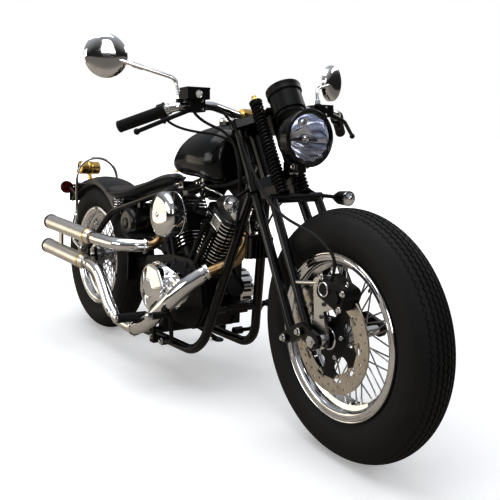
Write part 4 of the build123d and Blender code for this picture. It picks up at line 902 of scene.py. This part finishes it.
# %% Speedometer
POINTER_TURN = -2.27
dial_at = on_fork(170, 0, 604)
tick_at = dial_at + fork_up * 85
hub_at = dial_at + fork_up * 86
Mould().lathe(dial_at, fork_up, [(84.1, 44.6), (84.9, 44.6)], 56).piece(
    "speedometer_dial", dial_face, "steering")
marks = Mould()
for k in range(21):
    t = math.radians(-130 + 13 * k)
    spoke = -fork_ahead * math.cos(t) + across * math.sin(t)
    length = 8 if k % 5 == 0 else 4.5
    marks.pipe([tick_at + spoke * (41 - length), tick_at + spoke * 41], 0.55, 6)
pointer = -fork_ahead * math.cos(POINTER_TURN) + across * math.sin(POINTER_TURN)
marks.pipe([hub_at - pointer * 8, hub_at + pointer * 33], lambda s: 1.2 - 0.9 * s, 8)
marks.lathe(dial_at, fork_up, [(85, 4), (87.4, 4), (88, 3)], 20)
marks.piece("speedometer_marks", white_mark, "steering")
Mould().lathe(dial_at, fork_up, [(88.2, 44.8), (89.8, 44.8), (90.2, 40)], 56).piece(
    "speedometer_glass", clear_lens, "steering")
steps = Mould()
steps.ring(dial_at, fork_up, [(66, 48.3), (66, 51.4), (68, 52.6), (72, 52.6), (73.5, 52.1)], 64)
steps.ring(dial_at, fork_up,
           [(82, 52.2), (84, 52.8), (90.6, 52.4), (91.6, 50), (91.2, 46), (90.2, 45.2)], 64)
steps.piece("speedometer_rings", satin_black, "steering")

# %% [markdown]
# ## Bar controls
# Grips are ribbed rubber over a plastic throttle tube, with a small housing inboard. The brake
# reservoir has a screwed lid and a round sight glass; the mirrors have their glass on the rider's
# side and stepped collars on the stems.

# %% Grips
GRIP_RIBS, RIB_PITCH = 44, 2.9
grip_end = Vector((1043, -416, 895))
grip_way = (grip_end - Vector((1166, -292, 951))).normalized()
ribs = [(-132, 12.9), (-132, 15.5)]
for k in range(GRIP_RIBS):
    ribs += [(along + RIB_PITCH * k, radius) for along, radius in
             ((-130, 16.2), (-129.4, 17.2), (-128.2, 17.2), (-127.6, 16.2))]
ribs += [(0, 16.2), (0.5, 17.6), (4.6, 17.6), (6, 16), (6, 3), (2, 3), (2, 0.1), (0.2, 0.1),
         (0.2, 12.9)]
housing = [(-148, 12.9), (-148, 20.5), (-146.5, 22), (-138.5, 22), (-138, 21.2), (-137, 21.2),
           (-136.5, 22), (-128, 22), (-126.4, 20.5), (-126.4, 17.6), (-132.4, 17.4), (-132.4, 12.9)]
handgrips = Mould()
cans = Mould()
sleeves = Mould()
for side in (1, -1):
    way = mirrored(grip_way, side)
    end = mirrored(grip_end, side)
    handgrips.ring(end, way, ribs, 32)
    cans.ring(end, way, housing, 36)
    cans.cap_screw(end - way * 141 + Vector((0, 0, 21)), (0.1, 0, 1), 3.4, 3)
    cans.lathe(end - way * 137 + Vector((10, 0, -17)), (0.3, 0, -1),
               [(0, 7), (8, 6), (10, 4.5), (18, 4.3)], 16)
    sleeves.ring(end - way * 148, -way,
                 [(0, 13), (0, 15.4), (1, 15.8), (12, 15.8), (13, 15.4), (13, 13)], 30)
handgrips.piece("ribbed_grips", grip_rubber, "steering", 30, ("grips",))
cans.piece("throttle_housings", satin_black, "steering")
sleeves.piece("throttle_sleeves", alloy, "steering", slot="satin_steel")

# %% Reservoir
SIGHT_AT = (1222, -249, 983)
lid = Mould()
lid.skin([[(1169 - grow, -285 - grow, z), (1223 + grow, -285 - grow, z),
           (1223 + grow, -213 + grow, z), (1169 - grow, -213 + grow, z)]
          for z, grow in ((997.6, 0), (1001.5, 0), (1002.6, -1.2))])
lid.piece("reservoir_lid", satin_black, "steering", 30)
screws = Mould()
for y in (-278, -220):
    screws.cap_screw((1196, y, 1001.6), upward, 4, 1.6)
screws.ring(SIGHT_AT, onward, [(-1, 11), (1.2, 11), (2, 9.6), (1.2, 8.8), (-1, 8.8)], 28)
for side in (-1, 1):
    for z in (966, 943):
        screws.cap_screw((1198, side * 226, z), onward, 4.5, 4)
    screws.hex_bolt((1184, side * 243, 953), upward, 9, 4)
screws.piece("control_screws", chrome, "steering")
Mould().lathe(SIGHT_AT, onward, [(-1, 8.7), (0.6, 8.7), (1.8, 6), (2.2, 2)], 28).piece(
    "sight_glass", white_mark, "steering", slot="clear_lens")

# %% Mirrors
MIRRORS = (  # foot of the stem, elbow, head, and the way the shell faces
    ((1160, -279, 964), (1138, -279, 1031), (1075, -466, 1088), (0.95, -0.28, -0.08)),
    ((1160, 222, 970), (1140, 232, 1031), (1085, 342, 1057), (0.9, 0.42, -0.05)))
glasses = Mould()
shells = Mould()
for base, elbow, head, facing in MIRRORS:
    base, elbow, head = Vector(base), Vector(elbow), Vector(head)
    arm = head - elbow
    glasses.lathe(head, facing, [(-12.6, 55.5), (-12.1, 56.5), (-11.5, 56.5)], 64)
    shells.ring(head, facing, [(-12, 60.2), (-13.4, 59.4), (-13.6, 57.4), (-12, 56.6)], 64)
    shells.lathe(head, facing, [(0, 60.1), (1.5, 59.6), (6, 55.5), (9.5, 49), (11.6, 40),
                                (12.8, 26), (13.2, 8)], 64)
    for collar in (((0.48, 5.6), (0.48, 6.9), (0.49, 7.3), (0.62, 7.3), (0.63, 5.6)),
                   ((0.78, 5.6), (0.79, 8), (0.9, 8.6), (0.96, 6))):
        shells.lathe(elbow, arm, [(arm.length * share, r) for share, r in collar], 20)
    shells.lathe(base, elbow - base, [(8, 5.6), (8, 9), (20, 9), (21.5, 7.4), (24, 5.6)], 6)
glasses.piece("mirror_glasses", glass_silver, "steering")
shells.piece("mirror_shells", chrome, "steering")

# %% [markdown]
# ## Control cables
# Throttle, loom and clutch cables leave the bar, swing round the head and dive behind the tank.
# They cross the steering, so their route starts at the bar of the turned fork and ends on the frame
# at the tank, and the mesh then stays fixed in the frame. A spline through the drawn route gives the
# soft line of a real cable.

# %% Cables


def smooth_route(points):
    """Points read from a spline that the route steers."""
    curve = bpy.data.curves.new("route", "CURVE")
    curve.dimensions = "3D"
    curve.resolution_u = 10
    line = curve.splines.new("NURBS")
    line.points.add(len(points) - 1)
    for knot, point in zip(line.points, points):
        knot.co = (*point, 1)
    line.order_u = 3
    line.use_endpoint_u = True
    holder = bpy.data.objects.new("route", curve)
    mesh = bpy.data.meshes.new_from_object(holder)
    route = [v.co.copy() for v in mesh.vertices]
    bpy.data.objects.remove(holder)
    bpy.data.meshes.remove(mesh)
    return route


FIXED_RUN = [(1216, -110, 702), (1150, -64, 640), (1124, -58, 560)]
CABLES = (  # radius, points that turn with the fork, points on the frame
    (3.5, [(1141, -317, 918), (1161, -301, 886), (1196, -122, 868), (1236, -118, 780)], FIXED_RUN),
    (4.2, [(1170, -240, 938), (1178, -226, 912), (1206, -132, 874), (1246, -129, 778)],
     [(1226, -122, 694), (1158, -76, 626), (1120, -62, 530)]),
    (3.5, [(1176, 188, 958), (1192, 150, 944), (1206, 114, 880), (1240, 118, 780)],
     [(x, -y, z) for x, y, z in FIXED_RUN]))
to_drawing = parked.inverted() @ turned
cables = Mould()
for radius, moving, fixed in CABLES:
    route = [to_drawing @ Vector(p) for p in moving] + [Vector(p) for p in fixed]
    cables.pipe(smooth_route(route), radius, 10)
rope = cables.piece("bent_cables", grip_rubber, "chassis", 60, ("control_cables",))
rope.parent = None
rope.matrix_world = Matrix.Identity(4)
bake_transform(rope)

# %% [markdown]
# ## Indicators and lamps
# Each small lamp is a black bullet with a plated ring and a rippled lens. The tail lamp is a brass
# drum with a red glass, and the reflectors are red discs in black rims.

# %% Lamps
TAIL_LAMP = (-224, 0, 737)
rings = Mould()
lenses = Mould()
dishes = Mould()
for side in (-211, 211):
    signal = (1338, side, 680)
    rings.ring(signal, onward, [(-2, 20.5), (-2, 23.4), (2, 24), (5, 23), (5.4, 20.2)], 40)
    lenses.lathe(signal, onward, [(-1, 20.6), (3, 20.5), (8, 16), (11, 9), (12, 2)], 36)
    dishes.lathe(signal, onward, [(0.4, 20.3), (2.6, 15.4), (4.6, 10.4), (7.6, 4.4), (9, 1)], 18)
rings.piece("signal_rings", chrome, "steering")
lenses.piece("signal_lenses", ripple_lens, "steering")
dishes.piece("signal_dishes", glass_silver, "steering", 8)
drum = Mould()
drum.lathe(TAIL_LAMP, across, [(-50, 20), (-46, 30), (-43, 31.2), (-40, 30)], 40)
drum.lathe(TAIL_LAMP, across, [(-12, 30.1), (-10, 31.4), (10, 31.4), (12, 30.1)], 40, False)
drum.piece("tail_lamp_trim", brass, "chassis")
red = Mould()
red.lathe(TAIL_LAMP, across, [(45, 24), (50.5, 23), (53.5, 15), (54.4, 3)], 36)
red.lathe((-250, 0, 737), -onward, [(0, 22), (5, 21), (8, 14), (9, 3)], 36)
red.piece("tail_lamp_glass", red_lens, "chassis")
rims = Mould()
for side in (-112, 112):
    rims.ring((-220, side, 642), -onward,
              [(-7, 26.8), (-7, 28.4), (6.4, 28.8), (7.4, 27.4), (6.6, 25)], 40)
    rims.hex_bolt((-213, side, 642), onward, 12, 6)
rims.piece("reflector_rims", satin_black, "chassis")

# %% [markdown]
# ## The solo saddle
# The seat is a hide cover over foam on a steel pan: a narrow nose that rises behind the tank, a
# broad dished middle and a low kick at the back. The cover is skinned from sections, then swollen a
# little by a cloth solver with air pressure inside, as padding fills a sewn cover. Piping follows
# the seam.

# %% Saddle shell
SADDLE = (  # x, half width, underside, seam, top of middle, top near edge
    (654, 20, 706, 722, 736, 730), (640, 34, 704, 724, 746, 738), (606, 48, 692, 716, 740, 732),
    (560, 64, 678, 700, 722, 716), (500, 90, 658, 676, 698, 694), (440, 112, 640, 656, 676, 677),
    (380, 126, 630, 646, 662, 667), (330, 131, 626, 644, 657, 666), (280, 128, 628, 648, 664, 674),
    (248, 114, 634, 654, 674, 678), (232, 92, 640, 656, 672, 672))
PRESSURE, SOLVER_STEPS, LARGEST_MOVE = 4, 20, 0.004


def saddle_ring(x, half, low, seam, middle, edge):
    top = [(-1, seam), (-0.93, seam * 0.35 + edge * 0.65), (-0.78, edge),
           (-0.45, middle * 0.6 + edge * 0.4), (0, middle)]
    upper = top + [(-y, z) for y, z in reversed(top[:-1])]
    lower = [(0.9, low + 2), (0.5, low), (-0.5, low), (-0.9, low + 2)]
    return [(x, y * half, z) for y, z in upper + lower]


pad = Mould().skin([saddle_ring(*row) for row in SADDLE]).piece(
    "saddle_pad", hide, "chassis", 80, ("seat",))


def rounded(piece, levels):
    smooth = piece.modifiers.new("round", "SUBSURF")
    smooth.levels = smooth.render_levels = levels


def plump(piece, cap):
    """Swells a closed cover like filled upholstery, moving no point further than cap."""
    rounded(piece, 2)
    remesh = piece.modifiers.new("even", "REMESH")
    remesh.mode = "VOXEL"
    remesh.voxel_size = 0.005
    depsgraph = bpy.context.evaluated_depsgraph_get()
    piece_mesh = bpy.data.meshes.new_from_object(piece.evaluated_get(depsgraph))
    piece.modifiers.clear()
    piece.data = piece_mesh
    rest = [v.co.copy() for v in piece_mesh.vertices]
    cloth = piece.modifiers.new("cover", "CLOTH")
    cloth.settings.use_pressure = True
    cloth.settings.uniform_pressure_force = PRESSURE
    cloth.settings.effector_weights.gravity = 0
    for step in range(1, SOLVER_STEPS + 1):
        scene.frame_set(step)
    solved = piece.evaluated_get(bpy.context.evaluated_depsgraph_get())
    swollen = [v.co.copy() for v in solved.data.vertices]
    piece.modifiers.clear()
    scene.frame_set(1)
    for vertex, start, end in zip(piece_mesh.vertices, rest, swollen):
        move = end - start
        vertex.co = start + move * min(1.0, cap / max(move.length, 1e-9))
    piece_mesh.polygons.foreach_set("use_smooth", [True] * len(piece_mesh.polygons))
    rounded(piece, 1)
    print(piece.name, "plumped,", len(piece_mesh.vertices), "points")


plump(pad, LARGEST_MOVE)
pad.data.materials.clear()
pad.data.materials.append(hide)

# %% Piping and studs
left_seam = [Vector((x, half + 3.0, seam)) for x, half, low, seam, middle, edge in SADDLE[1:]]
seam_loop = left_seam + [Vector((225, 60, 657)), Vector((223, 0, 657)), Vector((225, -60, 657))]
seam_loop += [mirrored(p, -1) for p in reversed(left_seam)]
seam_loop += [Vector((659, -14, 722)), Vector((659, 14, 722)), seam_loop[0]]
Mould().pipe(smooth_route(seam_loop), 3.4, 8).piece("saddle_piping", hide, "chassis", 60)
studs = Mould()
for x, y, z, r in ((634, 0, 748.5, 8), (300, 60, 668.5, 5), (300, -60, 668.5, 5)):
    studs.lathe((x, y, z), (0.25, 0, 1),
                [(-3, r), (0, r), (r * 0.3, r * 0.7), (r * 0.42, r * 0.2)], 24)
studs.piece("saddle_studs", brass, "chassis")

# %% [markdown]
# ## Saddle springs
# Two short barrel springs hold the back of the pan. They replace the stacked discs of the solid,
# together with the bar that carries the nose.

# %% Saddle springs
NOSE_BAR = ((-14, 692.5), (14, 692.5), (14, 702), (-14, 702))
perch = Mould()
for side in (-82, 82):
    wind(perch, (300, side, 584), upward, 36, 16.5, 3.4, 4.2)
    perch.lathe((300, side, 572), upward,
                [(0, 12), (10, 12), (12, 20.5), (14.5, 20.5), (15.5, 18)], 28)
    perch.lathe((300, side, 618), upward, [(0, 20.5), (3, 20.5), (4, 17), (8, 10)], 28)
perch.skin([[(x, y, z) for y, z in NOSE_BAR] for x in (637, 690, 752, 775)])
perch.hex_bolt((715, 0, 702), upward, 16, 7)
perch.piece("saddle_springs", chrome, "chassis", 40, ("seat_springs",))

# %% [markdown]
# ## Tank fittings
# The tank is one painted shell. What sits on it is small: a plated filler cap with a knurled edge,
# and the fuel tap below with its hose to the carburettor.

# %% Tank fittings
FILLER_AT = Vector((985, 0, 918))
knurl = []
for height, radius in ((0, 34), (1.5, 37), (8.5, 37), (10, 35.5), (13, 30), (15, 18), (15.4, 4)):
    notch = 0.9 if 1 < height < 9 else 0
    knurl.append([FILLER_AT + upward * height + swung(onward, across, t, radius - notch * (k % 2))
                  for k, t in enumerate(turns(96))])
Mould().skin(knurl).piece("filler_cap", chrome, "chassis", 30)
tap = Mould()
tap.lathe((905, -46, 733), -upward, [(-6, 12), (3, 12), (4, 8), (18, 8), (19, 11), (30, 11),
                                     (31, 6), (44, 6)], 20)
tap.lathe((905, -46, 712), -across, [(8, 6), (20, 6), (21, 4), (30, 4)], 16)
tap.piece("fuel_tap", alloy, "chassis")
hose = [(905, -46, 692), (905, -48, 672), (900, -62, 652), (884, -72, 632), (872, -74, 604)]
Mould().pipe(smooth_route(hose), 5, 12).piece("fuel_hose", grip_rubber, "chassis")

# %% [markdown]
# ## Engine dress
# The engine is the jewel: black finned barrels, plated covers and many fasteners. The right cover
# is a faceted round boss with screws on its flange; pushrod tubes and plug leads fill the vee.

# %% Right cover
COVER_FACE = -152
cover_at = Vector((793, COVER_FACE, 336))
facets = [[cover_at + polar(t, r, -h) for t in turns(8, 0.3)]
          for h, r in ((27.2, 84), (33, 80), (44, 38), (45, 36), (43, 30), (43, 8))]
Mould().skin(facets).piece("faceted_boss", chrome, "chassis", 12)
flange = Mould()
for k in range(9):
    flange.cap_screw(cover_at + polar(math.radians(52 + 31 * k), 89.5), -across, 5, 5)
for x, z in ((858, 402), (905, 402), (948, 372), (955, 330), (930, 290)):
    flange.cap_screw((x, COVER_FACE, z), -across, 5, 5)
flange.lathe((905, COVER_FACE, 346), -across,
             [(-1, 46), (6, 46), (9, 42), (10, 30), (14, 28), (15, 8)], 40)
flange.lathe((905, -137, 346), -across, [(30, 15), (36, 15), (38, 12), (38, 4)], 24)
flange.piece("cover_screws", chrome, "chassis")

# %% Left cover
LEFT_COVER = Vector((872, 0, 330))
screws = Mould()
for t in turns(8):
    screws.cap_screw(LEFT_COVER + polar(t, 61, 160), across, 4.5, 4)
screws.lathe(LEFT_COVER, across, [(145, 48), (152, 48), (155, 44), (156, 12)], 48)
screws.piece("left_cover_screws", chrome, "chassis")
slots = Mould()
for k in range(-4, 5):
    slots.skin([[LEFT_COVER + polar(math.radians(22.5 * k + d), r, y)
                 for d, r in ((-4, 71), (4, 71), (4, 72.9), (-4, 72.9))] for y in (114, 146.2)])
slots.piece("ring_slots", satin_black, "chassis")

# %% Heads, pushrods and plugs
PLATE_OUTLINE = ((-8, 298), (-4, 294), (40, 294), (44, 298), (44, 334), (40, 338), (-4, 338),
                 (-8, 334))
PLATE_STEPS = ((72, 1), (76.5, 1), (78, 0.93), (78, 0.78), (77, 0.74))
head_trim, tubes, leads, plates = Mould(), Mould(), Mould(), Mould()
for tilt in BANK_TILTS.values():
    bore, fore = bank_axes(tilt)
    inner = -1 if tilt > 0 else 1
    for x in (-48, 48):
        for y in (-34, 34):
            head_trim.cap_screw(on_bank(tilt, x, y, 371), bore, 5.5, 5)
    for x in (-1, 1):
        foot = on_bank(tilt, x * 14, -94, 96)
        way = on_bank(tilt, x * 26, -80, 292) - foot
        middle, top = way.length * 0.48, way.length * 0.6
        tubes.lathe(foot, way, [(0, 13), (18, 13), (20, 9), (middle, 9), (middle + 1, 11.5),
                                (top, 11.5), (top + 1, 9), (way.length - 16, 9),
                                (way.length - 14, 12), (way.length, 12)], 24)
    for side in (-1, 1):
        plates.skin([[on_bank(tilt, -inner * (18 + (f - 18) * size), side * y,
                              316 + (h - 316) * size) for f, h in PLATE_OUTLINE]
                     for y, size in PLATE_STEPS])
        for f, h in ((-3, 299), (39, 333)):
            plates.cap_screw(on_bank(tilt, -inner * f, side * 77.5, h), across * side, 3.6, 3)
    plug = on_bank(tilt, inner * 40, -72, 308)
    out = (across * -0.9 + fore * inner * 0.35).normalized()
    head_trim.lathe(plug, out, [(0, 12), (6, 12), (7, 9), (10, 9)], 6)
    leads.lathe(plug, out, [(8, 6), (10, 9), (34, 8), (36, 5), (40, 4)], 18)
    bend = plug + out * 40
    leads.pipe(smooth_route([bend, bend + out * 16, bend + Vector((0, 8, 34)),
                             bend + Vector((-inner * 10, 52, 74)),
                             CRANK + Vector((-20, -10, 372))]), 3.6, 10)
plates.piece("head_side_plates", alloy, "chassis", 25)
tubes.piece("pushrod_tubes", satin_black, "chassis")
head_trim.piece("head_screws", chrome, "chassis")
leads.piece("plug_leads", grip_rubber, "chassis")

# %% [markdown]
# ## Air cleaner
# A deep plated pan with a rolled lip and a softly domed face: turned in one piece over the solid
# drum.

# %% Air cleaner
AIR_AT = (860, 0, 602)
dome = [(128, 40), (128, 70), (129, 76), (133, 79.4), (137, 79.4), (139, 77.5), (141, 77.5),
        (143, 79.4), (172, 79.4), (180, 78.4), (187, 75), (192, 69), (195.5, 60), (198, 46),
        (199.4, 30), (200, 14), (200.2, 4)]
Mould().lathe(AIR_AT, -across, dome, 72).piece(
    "air_cleaner_pan", chrome, "chassis", 40, ("air_cleaner",))
Mould().lathe(AIR_AT, -across, [(199.6, 9), (201.4, 9), (203, 6.4), (203.6, 2)], 28).piece(
    "air_cleaner_screw", alloy, "chassis")

# %% [markdown]
# ## Exhaust shields and silencer ends
# The two header pipes are wrapped in plated shields where a boot could touch them. The silencers
# are satin drums with a rolled brass ring in front and a dark, stepped end with an open outlet.

# %% Exhaust
SHIELDS = (  # radius of the shield, and its route
    (27, [(1039, -109, 427), (1021.5, -134.5, 405.5), (1004, -160, 384), (964, -190, 334),
          (916, -206, 288), (866, -214, 244), (800, -217, 206), (742, -216, 186)]),
    (26, [(600, -98, 461.5), (591, -124, 461), (582, -149, 461), (557, -185, 461),
          (516, -201, 461.5), (450, -209, 463), (372, -217.5, 466)]),
    (25, [(560, -217.5, 200), (520, -221, 236), (500, -222, 262), (470, -224, 302),
          (440, -226, 340), (404, -227, 356), (348, -228, 360)]))
SILENCERS = (((352, -220.5, 467), (-14, -262, 499)), ((312, -228, 360), (-46, -262, 389)))
CLAMPS = (((597, -107, 461.4), (0.33, 0.94, 0.01)), ((1040, -108, 428), (0.35, 0.65, 0.4)),
          ((742, -216, 186), (1, 0, 0.12)))


def rolled_in(radius):
    """Radius along a shield whose two ends are drawn in."""
    return lambda share: radius if 0.02 < share < 0.98 else radius - 2


shields = Mould()
for radius, route in SHIELDS:
    shields.pipe(smooth_route(route), rolled_in(radius), 28)
shields.piece("exhaust_shields", chrome, "chassis", 40)
ends, collars, clamps = Mould(), Mould(), Mould()
for front, rear in SILENCERS:
    way = Vector(rear) - Vector(front)
    collars.lathe(front, way, [(21, 29.6), (23, 31.8), (25, 32.3), (30, 32.3), (32, 31.7),
                               (33, 30.8)], 48)
    ends.lathe(front, way, [(way.length + past, radius) for past, radius in (
        (-16, 31.3), (-15, 32.6), (-3, 32.6), (1, 30), (2, 26), (1, 19), (-6, 17), (-30, 16))], 48)
collars.piece("silencer_collars", brass, "chassis")
ends.piece("silencer_ends", dark_steel, "chassis")
for at, way in CLAMPS:
    clamps.ring(at, way, [(-7, 21), (-7, 28.5), (-5, 29), (5, 29), (7, 28.5), (7, 21)], 40)
    clamps.cap_screw(Vector(at) - upward * 29, (0, -1, 0.2), 5, 7)
clamps.piece("pipe_clamps", alloy, "chassis", slot="satin_steel")

# %% [markdown]
# ## Foot controls, stand and frame joints
# Pegs wear ribbed rubbers with a bright end; pedals have a plated cap. On the frame, a small weld
# bead runs round each tube where it meets another.

# %% Foot controls
PEG, PEDAL = (760, 0, 230), (955, 0, 278)
ribbed = [(182, 12.2)]
for k in range(13):
    ribbed += [(along + 8.4 * k, radius) for along, radius in
               ((184, 16.5), (188.6, 16.5), (189.6, 14.6), (191.6, 14.6))]
ribbed += [(295, 16), (295, 12.2)]
rubbers, tips = Mould(), Mould()
for side in (-1, 1):
    out = across * side
    rubbers.ring(PEG, out, ribbed, 30)
    rubbers.ring(PEDAL, out, [(212, 10.2), (213, 12.5), (262, 12.5), (263, 10.2)], 26)
    tips.lathe(PEG, out, [(296, 14.2), (300, 15), (306, 14), (308, 8), (308.4, 2)], 30)
    tips.lathe(PEDAL, out, [(264, 12.4), (272, 12.6), (281, 11.6), (284, 7), (284.6, 2)], 26)
    tips.hex_bolt((860, side * 172, 158), out, 16, 8)
    tips.hex_bolt((760, side * 158, 150), out, 12, 6)
rubbers.piece("peg_rubbers", grip_rubber, "chassis")
tips.piece("peg_tips", chrome, "chassis")

# %% Weld beads
beads = Mould()


def bead(at, axis, radius):
    """Rippled ring of weld round a tube."""
    side, other = square_to(Vector(axis))
    beads.pipe([Vector(at) + swung(side, other, 2 * math.pi * k / 72,
                                   radius + (0.5 if k % 2 else -0.2)) for k in range(73)], 1.9, 6)


spine_head = on_fork(STEM_AHEAD, 0, 575)
spine_way = (Vector((770, 0, 697)) - spine_head).normalized()
bead(spine_head + spine_way * 34, spine_way, 19)
for side in (-1, 1):
    bead((770, side * 47, 697), (-0.9, side * -0.25, -0.2), 13)
    for x, y, z, tube in ((650, 104, 139, 13), (1060, 78, 302, 13), (1155, 19, 676, 10)):
        bead((x, side * y, z), across, tube)
beads.piece("weld_beads", enamel, "chassis", 60)

# %% [markdown]
# ## Last fittings
# The horn has a pressed plated face with rings, the oil drum a cap and side covers, the filter a
# fluted can, and the mudguard is held to its hoop by dome nuts. The number bracket stays blank.

# %% Last fittings
FILTER_AT = Vector((985, 0, 352))
FILTER_OUT, FILTER_UP = Vector((0.9415, 0, 0.337)), Vector((-0.337, 0, 0.9415))
horn = [(-3, 40), (0, 41), (2, 40), (2.4, 37), (3.4, 34), (5, 24), (5.6, 12), (7, 10), (7.6, 3)]
Mould().lathe((1136, -10, 604), -across, horn, 56).piece("horn_face", chrome, "chassis")
oil_trim, nuts = Mould(), Mould()
for side in (-1, 1):
    out = across * side
    oil_trim.lathe((489, side * 140, 536), out, [(-1, 22), (2, 22), (4, 18), (5, 6)], 36)
    nuts.lathe((-122, side * 72, 664), -out, [(0, 8), (4, 8), (8, 6), (10, 2)], 18)
    nuts.hex_bolt((2, side * 131, 374), out, 13, 6)
oil_trim.lathe((489, -40, 596), upward,
               [(-2, 17), (6, 17), (8, 20), (16, 20), (18, 17), (19, 5)], 30)
oil_trim.piece("oil_drum_caps", enamel, "chassis")
nuts.piece("guard_nuts", chrome, "chassis")
flutes = []
for height, radius in ((20, 37.5), (50, 37.5), (52, 37.5), (68, 37.2), (71, 34), (72.4, 20),
                       (72.6, 4)):
    cut = 1.4 if height > 50 else 0
    flutes.append([FILTER_AT + FILTER_OUT * height
                   + swung(FILTER_UP, across, t, radius - (cut if k % 4 < 2 else 0))
                   for k, t in enumerate(turns(56))])
Mould().skin(flutes).piece("oil_filter", enamel, "chassis", 30)

# %% [markdown]
# ## Under the tank
# Below the tank such machines carry their wiring: ribbed sleeves along the spine, the ignition coil
# in its strap, a relay box, a plate that steadies the heads and short plated breather pipes. A
# sleeve is a tube whose radius waves along its run, so one short function of the distance makes all
# its ribs.

# %% Sleeves and breathers
SLEEVE_RUN = ((1146, 36, 742), (1090, 47, 716), (985, 48, 708), (880, 44, 696), (800, 42, 678))
BREATHER_RUNS = (((1010, 24, 668), (1000, 46, 686), (972, 60, 692), (940, 58, 700)),
                 ((692, 24, 668), (712, 46, 684), (748, 58, 688), (790, 56, 694)))
sleeves, breathers = Mould(), Mould()
for side in (-1, 1):
    run = smooth_route([mirrored(p, side) for p in SLEEVE_RUN])
    dense = [a.lerp(b, k / 5) for a, b in zip(run, run[1:]) for k in range(5)]
    sleeves.pipe(dense, lambda s: 8.6 + 0.8 * math.sin(s * 420), 14)
    for points in BREATHER_RUNS:
        breathers.pipe(smooth_route([mirrored(p, side) for p in points]), 5.5, 14)
sleeves.piece("loom_sleeves", grip_rubber, "chassis", 40)
breathers.piece("breather_pipes", chrome, "chassis")

# %% Relay box, head steady and coil
BOX_OUTLINE = ((1064, 668), (1068, 688), (1074, 693), (1130, 696), (1136, 690), (1138, 644),
               (1132, 637), (1112, 634), (1096, 650))
BOX_LID = ((1078, 672), (1078, 686), (1128, 689), (1130, 650), (1116, 648), (1102, 660))
STEADY_OUTLINE = ((846, 714), (848, 670), (872, 653), (938, 653), (972, 690), (988, 697),
                  (1060, 656), (1074, 660), (1078, 704), (1040, 721), (900, 721))
COIL_AT, COIL_WAY = (905, -22, 682), (1, 0, 0.12)
box = Mould().slab(BOX_OUTLINE, (-10, 38)).slab(BOX_LID, (-10, -14))
for x, z in ((1124, 683), (1084, 680), (1121, 656)):
    box.cap_screw((x, -14, z), -across, 4, 4)
box.piece("relay_box", satin_black, "chassis", 25)
steady = Mould().slab(STEADY_OUTLINE, (-3, 5))
for x, z in ((866, 700), (866, 672), (932, 668), (1000, 706), (1060, 700), (1058, 668)):
    steady.hex_bolt((x, -3, z), -across, 11, 6)
steady.piece("head_steady", satin_black, "chassis", 30)
coil = [(-40, 6), (-38, 16), (-35, 19), (28, 19), (30, 16), (36, 15), (38, 10), (50, 9), (52, 5)]
Mould().lathe(COIL_AT, COIL_WAY, coil, 36).piece("ignition_coil", satin_black, "chassis")
strap = Mould()
strap.ring(COIL_AT, COIL_WAY, [(-14, 18.6), (-14, 20.6), (10, 20.6), (10, 18.6)], 40)
strap.cap_screw((903, -22, 702), upward, 4.5, 5)
strap.piece("coil_strap", alloy, "chassis", slot="satin_steel")

# %% [markdown]
# ## Casting ribs
# A crankcase is cast in sand, and ribs keep its thin walls stiff. They follow the front edge of the
# case.

# %% Casting ribs
RIB_OUTLINE = ((962, 226), (1006, 296), (988, 394), (936, 446), (944, 454), (996, 400),
               (1015, 296), (968, 220))
RIB_HALF = 2.4
ribs = Mould()
for y in (-92, -72, -52, 48):
    ribs.slab(RIB_OUTLINE, (y - RIB_HALF, y + RIB_HALF))
ribs.piece("casting_ribs", satin_black, "chassis", 25)

# %% [markdown]
# ## Starter and splash guard
# The starter lies across the gearbox behind the rear barrel. A thin guard goes on from the mudguard
# down the front of the rear tyre, a little clear of it, and keeps the road off the engine. It is
# one closed strip of sheet whose sections all face the rear axle.

# %% Starter and splash guard
STARTER_AT = Vector((596, 0, 452))
GUARD_RADIUS = 356
GUARD_SECTION = ((-62, -6), (-62, 0), (-56, 2.4), (56, 2.4), (62, 0), (62, -6), (60, -6), (56, 0),
                 (-56, 0), (-60, -6))
starter = Mould()
starter.lathe(STARTER_AT, across, [(-24, 6), (-24, 29), (-20, 33), (30, 33), (31, 34.5),
                                   (36, 34.5), (37, 31), (44, 30), (44, 6)], 48)
for k in range(3):
    starter.cap_screw(STARTER_AT + polar(math.radians(40 + 120 * k), 24, -24), -across, 4, 4)
starter.piece("starter_motor", satin_black, "chassis")
guard = [[rear_axle + polar(math.radians(-14 + 3 * k), GUARD_RADIUS + lift, y)
          for y, lift in GUARD_SECTION] for k in range(19)]
Mould().skin(guard).piece("splash_guard", enamel, "chassis")

# %% Finish
bpy.context.view_layer.update()
